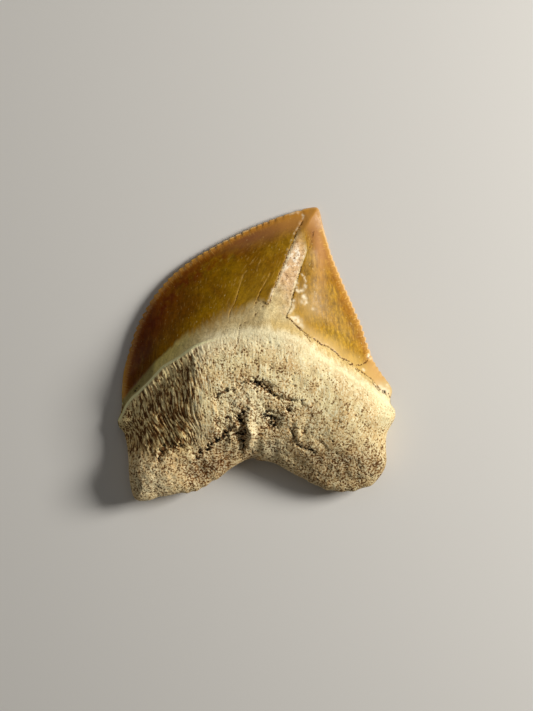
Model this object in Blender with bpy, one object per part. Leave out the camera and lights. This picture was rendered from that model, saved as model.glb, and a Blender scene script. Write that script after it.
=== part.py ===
"""A fossil crow shark tooth in one solid: serrated crown, arched neck band and two-lobed root.

The tooth lies on its labial face with its lingual face up. X runs across the tooth towards the
distal side, Y along it towards the apex, and Z up through its thickness. The origin is below the
middle of the tooth, on the surface that it lies on. Lengths are millimetres until the mesh is made.
"""

import math

import bpy
import numpy as np
from mathutils import Vector
from mathutils.geometry import delaunay_2d_cdt

# Driving dimensions
TOOTH_WIDTH = 26.0  # across the root's shoulders
DRAWN_WIDTH = 26.0  # the width at which the outlines below are drawn
SCALE = TOOTH_WIDTH / DRAWN_WIDTH
MM = 0.001

CROWN_EDGE_HEIGHT = 0.55  # how far the cutting edges stand above the surface
ROOT_EDGE_HEIGHT = 1.7  # the same for the widest line round the root
CROWN_EDGE_SLOPE = 0.8  # how steeply the blade thickens from its edge
APEX_FLATNESS = 0.38  # taken from that slope at the apex
ROOT_SIDE_WIDTH = 6.5  # width over which the root's sides round up to its thickness
ROOT_SIDE_ROUNDNESS = 2.3
MESIAL_SLANT = 1.05  # taken from that roundness where the root slopes to its mesial side
LOBE_ROUNDNESS = 1.8  # added to it at the mesial lobe
MESIAL_TERRACE = 0.42  # how far the root stands lower on its mesial side
ROOT_THICKNESS = 4.15  # above the root's widest line
APEX_THICKNESS = 1.2
CROWN_TAPER = 0.44  # thickness that the crown gains for each millimetre below the apex
CROWN_BEVEL_WIDTH = 3.0  # width of the labial bevel along the cutting edges
ROOT_UNDERSIDE_WIDTH = 1.5  # width of the rounding under the root's sides
CREST_HEIGHT = 0.14  # the low ridge down the crown below its apex
CREST_WIDTH = 0.9
ENAMEL_STEP = 0.17  # thickness of the enamel where it ends in a ledge beside the bare strip
DISTAL_STEP = 0.045  # the same along its distal base
ENAMEL_FADE = 1.1  # width over which the enamel thins out on the mesial side
RIM_HEIGHT = 0.11  # the smooth rim at the root's upper border
RIM_WIDTH = 0.24
BAND_DEPTH = 0.16  # the neck band, a shallow trough above the rim
BAND_WIDTH = 0.5
SHIELD_STEP = 0.14  # how far the root drops below the shield under its upper border
RIB_HEIGHT = 0.085  # the fibrous ribs on the shield
PIT_COUNT = 90  # the larger pores of the root
PIT_RADII = (0.22, 0.38)
PIT_DEPTHS = (0.10, 0.26)
PIT_SEED = 11
NECK_STEP = 0.45  # the labial neck, where the root stands back from the enamel
FURROW_DEPTH = 0.40  # the labial furrow above the root's notch
FURROW_WIDTH = 1.2
FORAMEN_DEPTH = 0.45
FORAMEN_RADIUS = 0.45
DENTICLE_DEPTH = 0.24
MESIAL_PITCH = 0.70  # of the denticles
DISTAL_PITCH = 0.60
MESIAL_PEAK = 0.70  # where each denticle's point stands in its pitch, counted along the outline
DISTAL_PEAK = 0.62

# Spacing of the mesh
ROOT_EDGE_STEP = 0.42
APEX_STEP = 0.3
FEATURE_STEP = 0.32
LINGUAL_SPACING = 0.75
RELIEF_SPACING = 0.38  # over the root's shield and the middle of the root
LABIAL_SPACING = 1.2
FORAMEN_SPACING = 0.3
ROOT_RINGS = (0.12, 0.40, 0.80)  # how far in from the outline each row of places follows it
CROWN_RING = 0.45
DENTICLE_BODY = 0.17  # how far in from its point each denticle is widest
SHARP_ANGLE = 60  # degrees; a fold over this stays crisp

# The outline, anticlockwise from the mesial shoulder: first the root's base, then the distal edge
BASAL_OUTLINE = [
    (-12.62, -4.90), (-12.72, -5.60), (-12.98, -6.30), (-12.85, -6.90), (-12.38, -7.45), (-12.10, -8.60),
    (-11.95, -10.10), (-11.86, -11.50), (-11.70, -12.65), (-11.40, -13.50), (-10.86, -13.78), (-9.90, -13.73),
    (-9.15, -13.44), (-8.35, -13.33), (-7.05, -13.06), (-6.45, -13.10), (-6.05, -12.94), (-5.55, -12.90),
    (-5.10, -12.60), (-4.65, -12.42), (-4.15, -11.98), (-3.60, -11.78), (-3.15, -11.40), (-2.25, -10.70),
    (-1.30, -10.15), (-0.75, -9.90), (-0.30, -9.82), (0.25, -10.02), (1.05, -10.12), (1.65, -10.25),
    (2.55, -10.72), (3.70, -11.38), (4.55, -11.75), (5.05, -12.10), (6.00, -12.50), (6.55, -12.80),
    (7.00, -12.80), (7.95, -12.98), (8.55, -12.88), (9.10, -12.93), (9.85, -12.64), (10.80, -12.35),
    (11.60, -11.50), (12.05, -10.70), (12.20, -9.90), (12.12, -8.75), (12.20, -7.65), (12.52, -6.90),
    (12.96, -6.10), (13.00, -5.35), (12.62, -4.75), (12.58, -4.30),
]  # fmt: skip
DISTAL_EDGE = [
    (12.58, -4.30), (12.76, -3.52), (12.48, -2.85), (11.78, -1.85), (11.05, -0.65), (10.88, -0.20),
    (10.43, 1.17), (9.95, 2.68), (9.29, 4.18), (8.62, 5.68), (7.98, 7.18), (7.35, 8.68), (6.83, 10.18),
    (6.36, 11.69), (6.02, 13.15),
]  # fmt: skip
APEX_OUTLINE = [(6.02, 13.15), (5.88, 13.55), (5.55, 13.76), (4.55, 13.62), (4.18, 13.44), (3.80, 13.42)]
MESIAL_EDGE = [
    (3.80, 13.42), (1.60, 12.68), (-0.80, 11.70), (-3.75, 10.22), (-6.10, 8.80), (-7.90, 7.40),
    (-9.45, 5.70), (-10.65, 3.80), (-11.50, 1.95), (-12.15, -0.30), (-12.50, -1.80), (-12.62, -3.30),
    (-12.62, -4.90),
]  # fmt: skip

APEX_Y = 13.8
CREST_X = 5.85  # the crest's place level with the apex

# How large the denticles are, as shares of their depth, at distances along each edge
DISTAL_SIZES = (
    (1.2, 3.0, 4.5, 6.2, 7.5, 8.8, 10.5, 15.5, 17.5),
    (0, 0.45, 0.6, 0.85, 1.0, 0.8, 0.6, 0.45, 0),
)  # fmt: skip
MESIAL_SIZES = ((0.4, 1.4, 6.0, 12.0, 15.0, 19.0, 21.0, 23.5), (0, 0.4, 0.5, 0.65, 0.9, 1.1, 0.8, 0))

# Lines on the lingual face, from the mesial to the distal side
RIM = [
    (-12.90, -6.10), (-12.60, -5.50), (-12.30, -4.91), (-12.00, -4.49), (-11.58, -4.01), (-11.16, -3.68),
    (-10.80, -3.35), (-10.44, -2.99), (-10.02, -2.60), (-9.48, -2.01), (-8.89, -1.38), (-8.59, -1.11),
    (-7.87, -0.69), (-7.09, -0.23), (-6.31, 0.34), (-5.65, 0.75), (-4.74, 1.12), (-3.20, 1.52),
    (-1.28, 1.95), (0.25, 2.06), (1.60, 1.86), (3.13, 1.50), (4.40, 0.92), (5.50, 0.06), (6.85, -0.90),
    (8.20, -1.70), (10.05, -2.94), (11.62, -4.00), (12.55, -4.75),
]  # fmt: skip
ENAMEL_MESIAL_BASE = [
    (-12.60, -4.60), (-11.82, -3.55), (-10.66, -2.30), (-9.71, -1.25), (-8.37, 0.23), (-7.41, 1.17),
    (-6.26, 1.93), (-4.74, 2.70), (-3.24, 3.47), (-1.27, 4.46), (0.30, 4.85), (1.05, 4.52),
]  # fmt: skip
ENAMEL_BREAK = [
    (1.05, 4.52), (1.64, 5.87), (2.11, 7.18), (2.58, 8.31), (3.26, 9.98), (3.66, 10.98), (4.10, 11.85),
    (4.45, 11.85), (4.62, 10.70), (4.72, 10.05), (4.72, 9.43), (4.27, 8.21), (3.90, 6.99), (3.61, 6.05),
    (3.33, 4.93), (3.24, 4.36), (2.95, 3.75), (2.80, 3.30),
]  # fmt: skip
ENAMEL_DISTAL_BASE = [
    (2.80, 3.30), (3.14, 3.14), (4.01, 2.27), (4.82, 1.62), (5.64, 1.15), (6.00, 0.80), (6.59, 0.66),
    (7.06, 0.33), (7.53, -0.06), (7.89, -0.42), (8.76, -0.83), (9.38, -1.42), (9.81, -1.70), (10.18, -2.01),
    (10.75, -2.37), (11.24, -2.99), (11.61, -3.40), (12.60, -4.15),
]  # fmt: skip
LEDGE = [
    (-11.20, -10.60), (-9.06, -9.81), (-8.87, -9.25), (-8.49, -8.78), (-7.56, -8.49), (-6.05, -8.49),
    (-4.60, -8.00), (-3.61, -7.00), (-3.61, -5.60), (-3.80, -4.18), (-3.24, -3.52), (-2.21, -3.14),
    (-1.27, -2.68), (-0.14, -2.68), (0.52, -2.77), (1.08, -3.05), (1.64, -3.61), (2.96, -3.99),
    (4.27, -4.46), (5.40, -5.58), (5.96, -6.34), (6.30, -8.20), (8.20, -9.60), (11.60, -10.00),
]  # fmt: skip

# Crevices in the root: line, half width, depth
CREVICES = [
    ([(-3.80, -4.18), (-3.24, -3.52), (-2.21, -3.14), (-1.27, -2.68), (-0.14, -2.68)], 0.26, 0.14),
    ([(-0.20, -2.72), (0.80, -3.15), (1.55, -3.75), (2.10, -4.05)], 0.32, 0.32),
    ([(2.45, -3.95), (3.05, -4.30), (4.25, -4.38)], 0.26, 0.16),
    ([(-0.90, -5.00), (-1.60, -5.85), (-2.55, -6.20)], 0.28, 0.20),
    ([(-2.75, -7.00), (-3.33, -7.80), (-4.60, -8.85), (-5.40, -9.70)], 0.32, 0.30),
    ([(-1.55, -5.95), (-1.15, -6.90), (-1.12, -8.10), (-1.20, -8.60)], 0.32, 0.30),
    ([(-9.06, -9.81), (-8.49, -8.78), (-7.56, -8.49)], 0.28, 0.18),
    ([(3.22, -7.00), (3.62, -8.15), (4.80, -8.98)], 0.26, 0.16),
]

# Relief on the root: (x, y), half width, half length, height; the length runs along the tilt, in
# degrees anticlockwise from Y
ROOT_LUMPS = [
    ((-0.40, -10.20), 3.20, 2.20, -0.25, 0.0),  # the root thins towards the notch
    ((-0.62, -7.40), 0.42, 2.05, 0.48, 3.0),  # median ridge
    ((-1.48, -7.40), 0.34, 1.20, -0.34, 4.0),  # hollow beside it
    ((-1.90, -6.67), 0.24, 0.34, 0.30, -12.0),  # small lumps in that hollow
    ((-2.43, -7.95), 0.28, 0.32, 0.28, 0.0),
    ((-0.95, -9.20), 0.22, 0.60, 0.20, 20.0),
    ((1.35, -6.00), 0.75, 0.75, -0.30, 0.0),  # nutrient hollow
    ((3.90, -7.35), 0.42, 0.85, 0.16, 4.0),  # oval boss
    ((4.35, -7.20), 0.25, 0.40, -0.12, 0.0),  # pit beside it
    ((4.75, -9.05), 0.30, 0.80, -0.12, 58.0),  # groove below it
    ((-3.30, -8.60), 0.40, 1.50, -0.25, -52.0),  # oblique trough
    ((-2.70, -10.10), 0.90, 1.00, -0.25, -20.0),  # dip above the notch
    ((0.75, -9.10), 0.35, 0.80, 0.20, 10.0),  # knob above the notch
    ((2.45, -9.80), 0.35, 0.85, 0.18, 35.0),  # knob beside it
    ((1.05, -3.05), 0.50, 0.30, -0.20, -20.0),  # pit under the shield's edge
    ((-5.40, -11.20), 1.60, 1.10, -0.42, 0.0),  # dip in the mesial lobe
    ((-10.20, -7.20), 1.10, 1.60, 0.20, 0.0),  # swelling above it
    ((-10.60, -12.00), 2.40, 1.70, 0.50, 0.0),  # end of the mesial lobe
    ((7.60, -9.90), 1.60, 1.20, -0.30, 0.0),  # dip in the distal lobe
    ((8.60, -6.60), 1.40, 1.10, 0.20, 0.0),  # swelling above it
    ((8.60, -12.20), 3.00, 1.40, -0.30, 0.0),  # end of the distal lobe
    ((12.50, -5.70), 0.60, 0.90, 0.35, 0.0),  # distal shoulder
    ((-12.50, -6.40), 0.60, 0.90, 0.14, 0.0),  # mesial shoulder
]
RELIEF_ZONES = [((-5.6, -11.2), (6.6, -4.6)), ((-10.6, -4.6), (10.2, 1.4))]

# The labial face, drawn in the same frame
LABIAL_NECK = [
    (-12.60, -4.60), (-9.00, -4.10), (-4.50, -3.10), (0.20, -2.30), (5.00, -2.90), (9.00, -3.70),
    (12.60, -4.30),
]  # fmt: skip
LABIAL_FORAMINA = [(-6.20, -6.70), (-2.60, -6.10), (0.30, -7.20), (3.20, -5.90), (6.80, -6.60)]


def catmull_rom(points, step):
    """A smooth curve through the points, as places about step apart, both ends included."""
    p = np.array(points, float)
    p = np.vstack([2 * p[0] - p[1], p, 2 * p[-1] - p[-2]])
    t = np.linspace(0, 1, 24, endpoint=False)[:, None]
    curve = []
    for a, b, c, d in zip(p, p[1:], p[2:], p[3:]):
        bend = 2 * a - 5 * b + 4 * c - d
        twist = 3 * b - a - 3 * c + d
        curve.append(b + 0.5 * ((c - a) * t + bend * t**2 + twist * t**3))
    curve = np.vstack(curve + [p[-2:-1]])
    run = run_of(curve)
    places = np.linspace(0, run[-1], max(2, round(run[-1] / step) + 1))
    return np.column_stack([np.interp(places, run, curve[:, k]) for k in (0, 1)])


def run_of(line):
    """The distance along the line to each of its places."""
    return np.concatenate([[0], np.cumsum(np.hypot(*np.diff(line, axis=0).T))])


def left_normals(line):
    along = np.gradient(line, axis=0)
    along /= np.hypot(*along.T)[:, None]
    return np.column_stack([-along[:, 1], along[:, 0]])


def smooth_step(value, start, end):
    t = np.clip((value - start) / (end - start), 0, 1)
    return t * t * (3 - 2 * t)


def denticled(edge, pitch, peak, sizes):
    """The edge with a row of denticles: a notch, a flank, a point and a flank in each pitch. Material
    lies on the left of the edge. The second result is the middle of each denticle's body."""
    fine = catmull_rom(edge, 0.02)
    fine_run = run_of(fine)
    normals = left_normals(fine)
    count = round(fine_run[-1] / pitch)
    phases = np.array([0.0, 0.55 * peak, peak, 0.5 + 0.5 * peak])
    depths = np.array([1.0, 0.22, 0.0, 0.3])
    run = np.append((np.arange(count)[:, None] + phases).ravel() * fine_run[-1] / count, fine_run[-1])
    depth = DENTICLE_DEPTH * np.append(np.tile(depths, count), 0.0)
    depth *= np.interp(run, *sizes) * (0.85 + 0.15 * np.cos(2.1 * run))
    x, y, nx, ny = (np.interp(run, fine_run, v) for v in (*fine.T, *normals.T))
    bodies = np.column_stack([x + nx * DENTICLE_BODY, y + ny * DENTICLE_BODY])[2::4]
    return np.column_stack([x + nx * depth, y + ny * depth]), bodies


def tooth_outline():
    """The outline, anticlockwise, and the middles of the denticles along it."""
    distal, distal_bodies = denticled(DISTAL_EDGE, DISTAL_PITCH, DISTAL_PEAK, DISTAL_SIZES)
    mesial, mesial_bodies = denticled(MESIAL_EDGE, MESIAL_PITCH, MESIAL_PEAK, MESIAL_SIZES)
    base = catmull_rom(BASAL_OUTLINE, ROOT_EDGE_STEP)
    apex = catmull_rom(APEX_OUTLINE, APEX_STEP)
    outline = np.vstack([part[:-1] for part in (base, distal, apex, mesial)])
    return outline, np.vstack([distal_bodies, mesial_bodies])


def nearest(places, line):
    """For each place its distance to the line, and its side: positive on the line's left."""
    start, span = line[:-1], np.diff(line, axis=0)
    offset = places[:, None] - start[None]
    share = np.clip((offset * span).sum(2) / (span**2).sum(1), 0, 1)
    gap = offset - share[..., None] * span
    distance = np.hypot(gap[..., 0], gap[..., 1])
    best = distance.argmin(1)
    rows = np.arange(len(places))
    side = span[best, 0] * offset[rows, best, 1] - span[best, 1] * offset[rows, best, 0]
    return distance[rows, best], np.where(side >= 0, 1.0, -1.0)


def inside(places, loop):
    x, y = places[:, :1], places[:, 1:]
    ax, ay = loop[:, 0], loop[:, 1]
    bx, by = np.roll(ax, -1), np.roll(ay, -1)
    crossing = ((ay > y) != (by > y)) & (x < (bx - ax) * (y - ay) / np.where(by == ay, 1e-9, by - ay) + ax)
    return crossing.sum(1) % 2 == 1


class Face:
    """What both faces of the tooth know about a set of places: distances to its lines, and zones."""

    def __init__(self, places, outline):
        self.x, self.y = places.T
        closed = np.vstack([outline, outline[:1]])
        self.edge, _ = nearest(places, closed)
        rim_gap, rim_side = nearest(places, catmull_rom(RIM, 0.3))
        self.above_rim = rim_gap * rim_side
        self.rim = rim_gap
        self.root = smooth_step(-self.above_rim, -1.6, 1.6)
        rising = smooth_step(-self.above_rim, -3.2, 2.4)
        self.edge_height = CROWN_EDGE_HEIGHT + (ROOT_EDGE_HEIGHT - CROWN_EDGE_HEIGHT) * rising
        self.places = places


def blade(distance, slope, thickness):
    """A height that rises from a sharp edge with the slope and levels out at the thickness."""
    rise = slope * distance
    return rise / np.sqrt(1 + (rise / thickness) ** 2)


def rounded(distance, width, height, roundness):
    """A height that leaves the edge upright and levels out at the width, as a rounded side does."""
    share = 1 - np.clip(distance / width, 0, 1)
    return height * (1 - share**roundness) ** (1 / roundness)


def enamel_cover(face):
    """1 where enamel covers the lingual face and 0 where it doesn't, with a ledge or a fade between."""
    lower = ENAMEL_MESIAL_BASE + ENAMEL_BREAK[1:] + ENAMEL_DISTAL_BASE[1:]
    gap, side = nearest(face.places, catmull_rom(lower, 0.25))
    fade_gap, fade_side = nearest(face.places, catmull_rom(ENAMEL_MESIAL_BASE, 0.25))
    fading = smooth_step(-face.x, -1.2, 1.0)
    ledge = smooth_step(gap * side, -0.08, 0.08)
    fade = smooth_step(fade_gap * fade_side, -0.3, ENAMEL_FADE)
    return ledge * (1 - fading) + ledge * fade * fading


def bump(distance, width):
    """1 at distance 0, falling smoothly to nothing past the width."""
    return np.exp(-((distance / width) ** 2))


def lump(face, centre, half_width, half_length, tilt):
    angle = math.radians(tilt)
    dx, dy = face.x - centre[0], face.y - centre[1]
    across = dx * math.cos(angle) + dy * math.sin(angle)
    along = dy * math.cos(angle) - dx * math.sin(angle)
    return bump(across, half_width) * bump(along, half_length)


def body_height(face):
    """The swelling of blade and root over the lines where the tooth is widest."""
    crown_cap = APEX_THICKNESS + CROWN_TAPER * (APEX_Y - face.y)
    fall = 0.020 * (face.y + 2.8) ** 2 + 0.006 * face.x**2
    root_cap = np.maximum(1.5, ROOT_THICKNESS - fall)
    slope = CROWN_EDGE_SLOPE - APEX_FLATNESS * smooth_step(face.y, 9.5, 12.8)
    crown = blade(face.edge, slope, crown_cap)
    slant = smooth_step(-face.x, 2.5, 7.0) * smooth_step(face.y, -11.0, -8.0)
    lobe = smooth_step(-face.x, 5.0, 9.0) * smooth_step(-face.y, 9.5, 11.5)
    roundness = ROOT_SIDE_ROUNDNESS - MESIAL_SLANT * slant + LOBE_ROUNDNESS * lobe
    root = rounded(face.edge, ROOT_SIDE_WIDTH, root_cap, roundness)
    return face.edge_height + crown + (root - crown) * face.root


def crown_relief(face):
    """The crest below the apex, and the enamel with its ledge."""
    crest = face.x - CREST_X + 0.04 * (APEX_Y - face.y)
    stretch = smooth_step(face.y, 2.5, 8.0) * (1 - 0.85 * smooth_step(face.y, 10.0, 12.6))
    step = ENAMEL_STEP + (DISTAL_STEP - ENAMEL_STEP) * smooth_step(face.x, 2.0, 4.0)
    enamel = step * enamel_cover(face) * smooth_step(face.edge, 0.0, 0.5)
    return CREST_HEIGHT * bump(crest, CREST_WIDTH) * stretch + enamel


def shield_ribs(face):
    """The ribs run down from the rim and lean towards the notch on the mesial side."""
    grain = face.x + 0.28 * smooth_step(-face.x, 0.0, 6.0) * (face.y - 2.0)
    fine = np.sin(6.1 * grain + 1.3 * np.sin(0.9 * face.y)) * (0.7 + 0.3 * np.sin(1.7 * face.x + face.y))
    broad = 0.7 * np.sin(3.3 * grain + 1.9 * np.sin(0.6 * face.y + 0.5 * face.x))
    return RIB_HEIGHT * (fine + broad) * (0.6 + 0.4 * smooth_step(-face.x, -2.0, 4.0))


def root_pits(face):
    """Pores of several sizes, spread over the root below its rim."""
    spread = np.random.default_rng(PIT_SEED)
    height = np.zeros_like(face.x)
    for _ in range(PIT_COUNT):
        x, y = spread.uniform(-11.5, 11.5), spread.uniform(-12.5, 0.8)
        radius, depth = spread.uniform(*PIT_RADII), spread.uniform(*PIT_DEPTHS)
        height -= depth * bump(np.hypot(face.x - x, face.y - y), radius)
    return height


def root_relief(face):
    """The rim, the neck band above it, the shield with its ribs, the pits, crevices and lumps."""
    ledge_gap, ledge_side = nearest(face.places, catmull_rom(LEDGE, 0.3))
    below_ledge = smooth_step(-ledge_gap * ledge_side, -0.12, 0.3)
    below_rim = smooth_step(-face.above_rim, 0.5, 1.6)
    height = RIM_HEIGHT * bump(face.rim, RIM_WIDTH) * (0.35 + 0.65 * smooth_step(-face.x, 1.5, 5.5))
    height -= BAND_DEPTH * bump(face.above_rim - 0.85, BAND_WIDTH)
    height -= SHIELD_STEP * below_ledge * below_rim * (1 - 0.7 * smooth_step(face.x, 3.5, 5.5))
    height += (shield_ribs(face) * (1 - 0.6 * below_ledge) + root_pits(face)) * below_rim
    height -= MESIAL_TERRACE * smooth_step(-face.x, 5.0, 6.8) * smooth_step(face.y, -8.0, -5.5) * below_rim
    for points, half_width, depth in CREVICES:
        gap, _ = nearest(face.places, catmull_rom(points, 0.3))
        height -= depth * bump(gap, half_width)
    for centre, half_width, half_length, rise, tilt in ROOT_LUMPS:
        height += rise * lump(face, centre, half_width, half_length, tilt)
    return height


def lingual_height(face):
    relief = crown_relief(face) + root_relief(face)
    return body_height(face) + relief * smooth_step(face.edge, 0.0, 1.2)


def labial_height(face):
    """Height of the lower face. It is 0, flat on the surface, over the middle of blade and lobes."""
    bevel = (1 - np.clip(face.edge / CROWN_BEVEL_WIDTH, 0, 1)) ** 2
    underside = 1 - rounded(face.edge, ROOT_UNDERSIDE_WIDTH, 1.0, 2.0)
    height = face.edge_height * (bevel + (underside - bevel) * face.root)
    neck_gap, neck_side = nearest(face.places, catmull_rom(LABIAL_NECK, 0.4))
    below_neck = -neck_gap * neck_side
    height += NECK_STEP * smooth_step(below_neck, -0.1, 0.15) * bump(np.maximum(0, below_neck), 1.5)
    height += FURROW_DEPTH * bump(face.x - 0.2, FURROW_WIDTH) * smooth_step(-face.y, 3.5, 6.0)
    for x, y in LABIAL_FORAMINA:
        height += FORAMEN_DEPTH * bump(np.hypot(face.x - x, face.y - y), FORAMEN_RADIUS)
    return np.where((height < 0.02) & (face.edge > 0.6), 0.0, height)


def rings(outline):
    """Places in rows that follow the outline a little way in, where the faces curve most."""
    closed = np.vstack([outline, outline[:1]])
    crown = DISTAL_EDGE + APEX_OUTLINE[1:] + MESIAL_EDGE[1:]
    rows = [(BASAL_OUTLINE, ROOT_EDGE_STEP, depth) for depth in ROOT_RINGS]
    rows.append((crown, LINGUAL_SPACING, CROWN_RING))
    found = []
    for points, step, depth in rows:
        line = catmull_rom(points, step)
        ring = line + left_normals(line) * depth
        gap, _ = nearest(ring, closed)
        found.append(ring[(gap > 0.7 * depth) & inside(ring, outline)])
    return np.vstack(found)


def hex_grid(spacing, low=(-13.5, -14.5), high=(13.5, 14.5)):
    rows = []
    for row, y in enumerate(np.arange(low[1], high[1], spacing * math.sqrt(0.75))):
        x = np.arange(low[0], high[0], spacing) + (spacing / 2 if row % 2 else 0)
        rows.append(np.column_stack([x, np.full_like(x, y)]))
    return np.vstack(rows)


def beside(points, offsets):
    """Places along the line through the points, at each offset to its left."""
    line = catmull_rom(points, FEATURE_STEP)
    return np.vstack([line + offset * left_normals(line) for offset in offsets])


def lingual_rows():
    """Places for the upper face and how far each set keeps from the sets before it: first those that
    keep the enamel's ledge and the rim crisp, then those that follow the root's relief."""
    ledge = beside(ENAMEL_BREAK + ENAMEL_DISTAL_BASE[1:], (0.1, -0.1))
    rim = beside(RIM, (0.0, 0.24, 0.55, 0.95, -0.24, -0.5))
    crevices = np.vstack([beside(points, (0.0,)) for points, _, _ in CREVICES])
    relief = np.vstack([hex_grid(RELIEF_SPACING, low, high) for low, high in RELIEF_ZONES])
    gap, side = nearest(relief, catmull_rom(RIM, 0.3))
    relief = relief[gap * side < -0.5]
    rows = [(ledge, 0.14), (rim, 0.16), (crevices, 0.2), (relief, 0.25)]
    return rows + [(hex_grid(LINGUAL_SPACING), 0.6 * LINGUAL_SPACING)]


def labial_rows():
    """The same for the lower face: the neck's step, then a hollow for each foramen."""
    neck = beside(LABIAL_NECK, (0.15, -0.2))
    hollow = hex_grid(FORAMEN_SPACING, (-0.7, -0.8), (0.7, 0.8))
    hollows = np.vstack([hollow[np.hypot(*hollow.T) < 0.8] + np.array(f) for f in LABIAL_FORAMINA])
    return [(neck, 0.14), (hollows, 0.2), (hex_grid(LABIAL_SPACING), 0.6 * LABIAL_SPACING)]


def thinned(places, kept, spacing):
    """The places that are no nearer than spacing to any kept one."""
    gap = np.hypot(places[:, None, 0] - kept[None, :, 0], places[:, None, 1] - kept[None, :, 1]).min(1)
    return places[gap > spacing]


def face_mesh(outline, bodies, rows):
    """Places and triangles of one face, with the outline's places first and in order. No triangle
    has its three corners on the outline, so the two faces never coincide."""
    wanted = np.vstack([outline, bodies, rings(outline)])
    for places, spacing in rows:
        wanted = np.vstack([wanted, thinned(places[inside(places, outline)], wanted, spacing)])
    while True:
        made = delaunay_2d_cdt([Vector(p) for p in wanted], [], [list(range(len(outline)))], 1, 1e-5)
        places, triangles = np.array([tuple(v) for v in made[0]]), [list(f) for f in made[2]]
        flaps = [triangle for triangle in triangles if max(triangle) < len(outline)]
        if not flaps:
            return places, triangles
        wanted = np.vstack([places] + [places[flap].mean(0) for flap in flaps])


def make_tooth():
    outline, bodies = tooth_outline()
    count = len(outline)
    top, top_faces = face_mesh(outline, bodies, lingual_rows())
    bottom, bottom_faces = face_mesh(outline, bodies, labial_rows())
    top_face, bottom_face = Face(top, outline), Face(bottom, outline)
    top_z = lingual_height(top_face)
    bottom_z = labial_height(bottom_face)
    top_z[:count] = top_face.edge_height[:count]

    verts = np.vstack([np.column_stack([top, top_z]), np.column_stack([bottom, bottom_z])[count:]])
    verts[:, :2] -= (outline.min(0) + outline.max(0)) / 2
    shift = len(top) - count
    lower = [[v if v < count else v + shift for v in reversed(face)] for face in bottom_faces]
    mesh = bpy.data.meshes.new("shark_tooth")
    mesh.from_pydata((verts * SCALE * MM).tolist(), [], top_faces + lower)
    mesh.shade_smooth()
    mesh.set_sharp_from_angle(angle=math.radians(SHARP_ANGLE))
    tooth = bpy.data.objects.new("shark_tooth", mesh)
    bpy.context.scene.collection.objects.link(tooth)
    return tooth


def fossil_material():
    material = bpy.data.materials.new("fossil_tooth")
    material.use_nodes = True
    shader = material.node_tree.nodes["Principled BSDF"]
    shader.inputs["Base Color"].default_value = (0.48, 0.34, 0.15, 1.0)
    shader.inputs["Roughness"].default_value = 0.55
    shader.inputs["Metallic"].default_value = 0.0
    return material


def main():
    for old in list(bpy.data.objects):
        bpy.data.objects.remove(old)
    tooth = make_tooth()
    tooth.data.materials.append(fossil_material())
    print("triangles", len(tooth.data.polygons))


main()
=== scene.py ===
import math

import bpy
import numpy as np
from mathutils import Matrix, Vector
from mathutils.geometry import delaunay_2d_cdt


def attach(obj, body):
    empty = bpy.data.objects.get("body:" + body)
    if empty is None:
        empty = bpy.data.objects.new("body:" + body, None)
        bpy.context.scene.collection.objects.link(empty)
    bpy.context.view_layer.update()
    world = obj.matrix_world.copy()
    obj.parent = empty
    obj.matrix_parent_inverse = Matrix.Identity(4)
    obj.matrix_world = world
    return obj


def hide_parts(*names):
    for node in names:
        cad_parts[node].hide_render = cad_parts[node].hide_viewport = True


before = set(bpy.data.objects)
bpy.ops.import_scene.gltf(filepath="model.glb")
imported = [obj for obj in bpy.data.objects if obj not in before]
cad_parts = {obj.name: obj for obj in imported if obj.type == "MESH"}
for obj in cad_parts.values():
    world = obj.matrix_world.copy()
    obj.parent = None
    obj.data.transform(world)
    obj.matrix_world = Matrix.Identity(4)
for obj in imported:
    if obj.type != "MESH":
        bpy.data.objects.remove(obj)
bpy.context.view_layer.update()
print("frame loaded:", ", ".join(sorted(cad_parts)))

metre = 1000.0  # millimetres in one; every length below is in millimetres

# Outline seen from above, anticlockwise: root base, distal cutting edge, apex, mesial cutting edge
rootBase = [
    (-12.62, -4.9), (-12.72, -5.6), (-12.98, -6.3), (-12.85, -6.9), (-12.38, -7.45), (-12.1, -8.6),
    (-11.95, -10.1), (-11.86, -11.5), (-11.7, -12.65), (-11.4, -13.5), (-10.86, -13.78), (-9.9, -13.73),
    (-9.15, -13.44), (-8.35, -13.33), (-7.05, -13.06), (-6.45, -13.1), (-6.05, -12.94), (-5.55, -12.9),
    (-5.1, -12.6), (-4.65, -12.42), (-4.15, -11.98), (-3.6, -11.78), (-3.15, -11.4), (-2.25, -10.7),
    (-1.3, -10.15), (-0.75, -9.9), (-0.3, -9.82), (0.25, -10.02), (1.05, -10.12), (1.65, -10.25),
    (2.55, -10.72), (3.7, -11.38), (4.55, -11.75), (5.05, -12.1), (6.0, -12.5), (6.55, -12.8),
    (7.0, -12.8), (7.95, -12.98), (8.55, -12.88), (9.1, -12.93), (9.85, -12.64), (10.8, -12.35),
    (11.6, -11.5), (12.05, -10.7), (12.2, -9.9), (12.12, -8.75), (12.2, -7.65), (12.52, -6.9),
    (12.96, -6.1), (13.0, -5.35), (12.62, -4.75), (12.58, -4.3),
]
distalEdge = [
    (12.58, -4.3), (12.76, -3.52), (12.48, -2.85), (11.78, -1.85), (11.05, -0.65), (10.88, -0.2),
    (10.43, 1.17), (9.95, 2.68), (9.29, 4.18), (8.62, 5.68), (7.98, 7.18), (7.35, 8.68), (6.83, 10.18),
    (6.36, 11.69), (6.02, 13.15),
]
apexEdge = [(6.02, 13.15), (5.88, 13.55), (5.55, 13.76), (4.55, 13.62), (4.18, 13.44), (3.8, 13.42)]
mesialEdge = [
    (3.8, 13.42), (1.6, 12.68), (-0.8, 11.7), (-3.75, 10.22), (-6.1, 8.8), (-7.9, 7.4),
    (-9.45, 5.7), (-10.65, 3.8), (-11.5, 1.95), (-12.15, -0.3), (-12.5, -1.8), (-12.62, -3.3),
    (-12.62, -4.9),
]

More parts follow.
